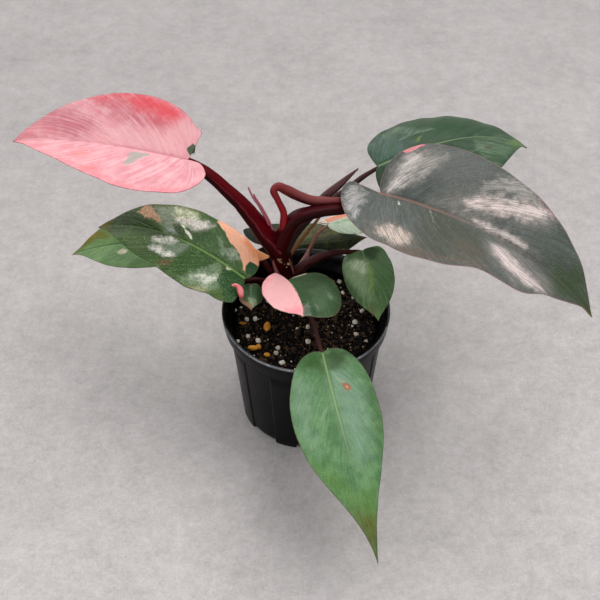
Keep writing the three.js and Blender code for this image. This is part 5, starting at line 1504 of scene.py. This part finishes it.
# bark chips and crumbs of peat
parts = []
for _ in range(300):
    x, y = random_spot()
    big = dice.uniform(1.6, 5.2) * (1.5 if dice.uniform() < 0.12 else 1)
    shape = big * np.array([1.0, dice.uniform(0.35, 0.8), dice.uniform(0.25, 0.6)])
    parts.append(grain(x, y, shape, 2, 0.3, 0.42, 0.35))
parts += [crumb(0.5, 1.7, (0.5, 1.2), 1, 0.3, 0.35, 0.2) for _ in range(1300)]
grains_piece("bark_and_crumbs", parts, grain_material("bark", "040201", "5c3a1e", 0.55, "070403", 0.5, 3.2))

parts = [crumb(0.5, 1.5, (0.5, 1.2), 1, 0.35, 0.2, 0.2) for _ in range(300)]
grains_piece("tan_crumbs", parts, grain_material("tan crumbs", "6c441c", "dca868", 0.6, "3c2410", power=1.4))

# fibres and fine roots lying on the mix, the first few of them long
FIBRES, LONG_FIBRES, EDGE = 100, 7, 53.5
parts = []
for k in range(FIBRES):
    x, y = random_spot(50)
    turn = dice.uniform(0, 2 * math.pi)
    long = dice.uniform(12, 26) if k < LONG_FIBRES else dice.uniform(2, 6)
    bend = dice.uniform(-0.9, 0.9)
    line = []
    for t in np.linspace(0, 1, 7):
        a = turn + bend * t
        px, py = x + long * t * math.cos(a), y + long * t * math.sin(a)
        if math.hypot(px, py) > EDGE:
            break
        hump = 0.5 * math.sin(math.pi * t) * dice.uniform(0.2, 1)
        line.append((px, py, float(soil_level(px, py)) + 0.35 + hump))
    if len(line) < 3:
        continue
    thick = dice.uniform(0.16, 0.24) if k < LONG_FIBRES else dice.uniform(0.1, 0.2)
    points, faces, _ = tube(line, [thick, thick, thick * 0.6], sides=6, count=16)
    parts.append((points, faces, np.tile([dice.uniform(), dice.uniform(), 0], (len(points), 1))))
grains_piece("roots_and_fibres", parts, grain_material("roots", "2c180c", "8a6038", 0.6, "4a2e1a", 0.1))

# ---------------------------------------------------------------- floor, light and camera


def floor_material():
    """A mottled floor with sharper grain towards the camera, and painted light that makes it lighter towards
    the camera.
    """
    s = Shader("pale floor")
    place = s.place()
    mottle = s.noise(place, 0.012, 4.0, 0.6)
    patches = s.noise(place, 0.07, 4.0, 0.65)
    flaws = s.noise(place, 0.2, 3.0, 0.7)
    grit = s.noise(place, 0.55, 4.0, 0.8)
    pits = s.step(s.noise(place, 0.3, 4.0, 0.7), 0.64, 0.72)
    x, y, z = s.parts(place)
    # painted light: from 0 at the rear left to 1 at the front right
    painted_light_share = s.math("ADD", s.add(0.704, s.times(y, -0.00128)), s.times(x, 0.000385), clamp=True)
    sharp = s.step(y, -50.0, 600.0, 1.0, 0.55)
    fine = s.times(sharp, s.add(s.blend(flaws, 0.44, grit, 0.6), -0.52))
    tone = s.add(s.blend(mottle, 0.38, patches, 0.46), fine)
    level = s.times(s.add(0.58, tone), s.add(0.87, s.times(painted_light_share, 0.26)))
    skin = s.scale(colour("b7b2b1"), level)
    s.set(
        Base_Color=s.paint(skin, s.times(pits, 0.45), "777371"),
        Roughness=s.add(s.times(grit, 0.1), 0.82),
        Normal=s.bump(s.add(grit, s.times(patches, 2.0)), 0.25, 0.4),
    )
    return s.material


FLOOR_HALF = 6  # metres
corners = [(x * FLOOR_HALF, y * FLOOR_HALF, 0) for x, y in ((-1, -1), (1, -1), (1, 1), (-1, 1))]
floor_mesh = bpy.data.meshes.new("floor")
floor_mesh.from_pydata(corners, [], [(0, 1, 2, 3)])
floor_mesh.materials.append(floor_material())
floor = bpy.data.objects.new("floor", floor_mesh)
bpy.context.scene.collection.objects.link(floor)

scene = bpy.context.scene
scene.view_settings.view_transform = "Standard"
world = bpy.data.worlds.new("soft room")
scene.world = world
world.use_nodes = True
world.node_tree.nodes["Background"].inputs["Color"].default_value = (0.97, 0.985, 1.0, 1)
world.node_tree.nodes["Background"].inputs["Strength"].default_value = 0.59


def lamp(name, towards, spread, strength, tone):
    """A far, soft light. towards points from the plant to it, spread is its width in degrees."""
    data = bpy.data.lights.new(name, "SUN")
    data.energy = strength
    data.angle = math.radians(spread)
    data.color = tone
    light = bpy.data.objects.new(name, data)
    x, y, z = towards
    light.rotation_euler = (math.atan2(math.hypot(x, y), z), 0, math.atan2(x, -y))
    scene.collection.objects.link(light)


lamp("main", (0.28, 0.31, 0.91), 45, 1.2, (1.0, 0.983, 0.963))
lamp("rear_left", (-0.45, 0.78, 0.42), 45, 0.83, (1.0, 0.978, 0.957))
lamp("front_right", (0.39, -0.17, 0.91), 30, 0.3, (1.0, 0.975, 0.955))
lamp("front_left", (-0.71, -0.56, 0.42), 18, 0.42, (1.0, 0.98, 0.97))

camera_data = bpy.data.cameras.new("camera")
camera_data.lens = LENS
camera_data.sensor_width = SENSOR
camera = bpy.data.objects.new("camera", camera_data)
camera.location = [c * MM for c in CAMERA_PLACE]
camera.rotation_euler = (math.radians(CAMERA_TILT), 0, 0)
scene.collection.objects.link(camera)
scene.camera = camera
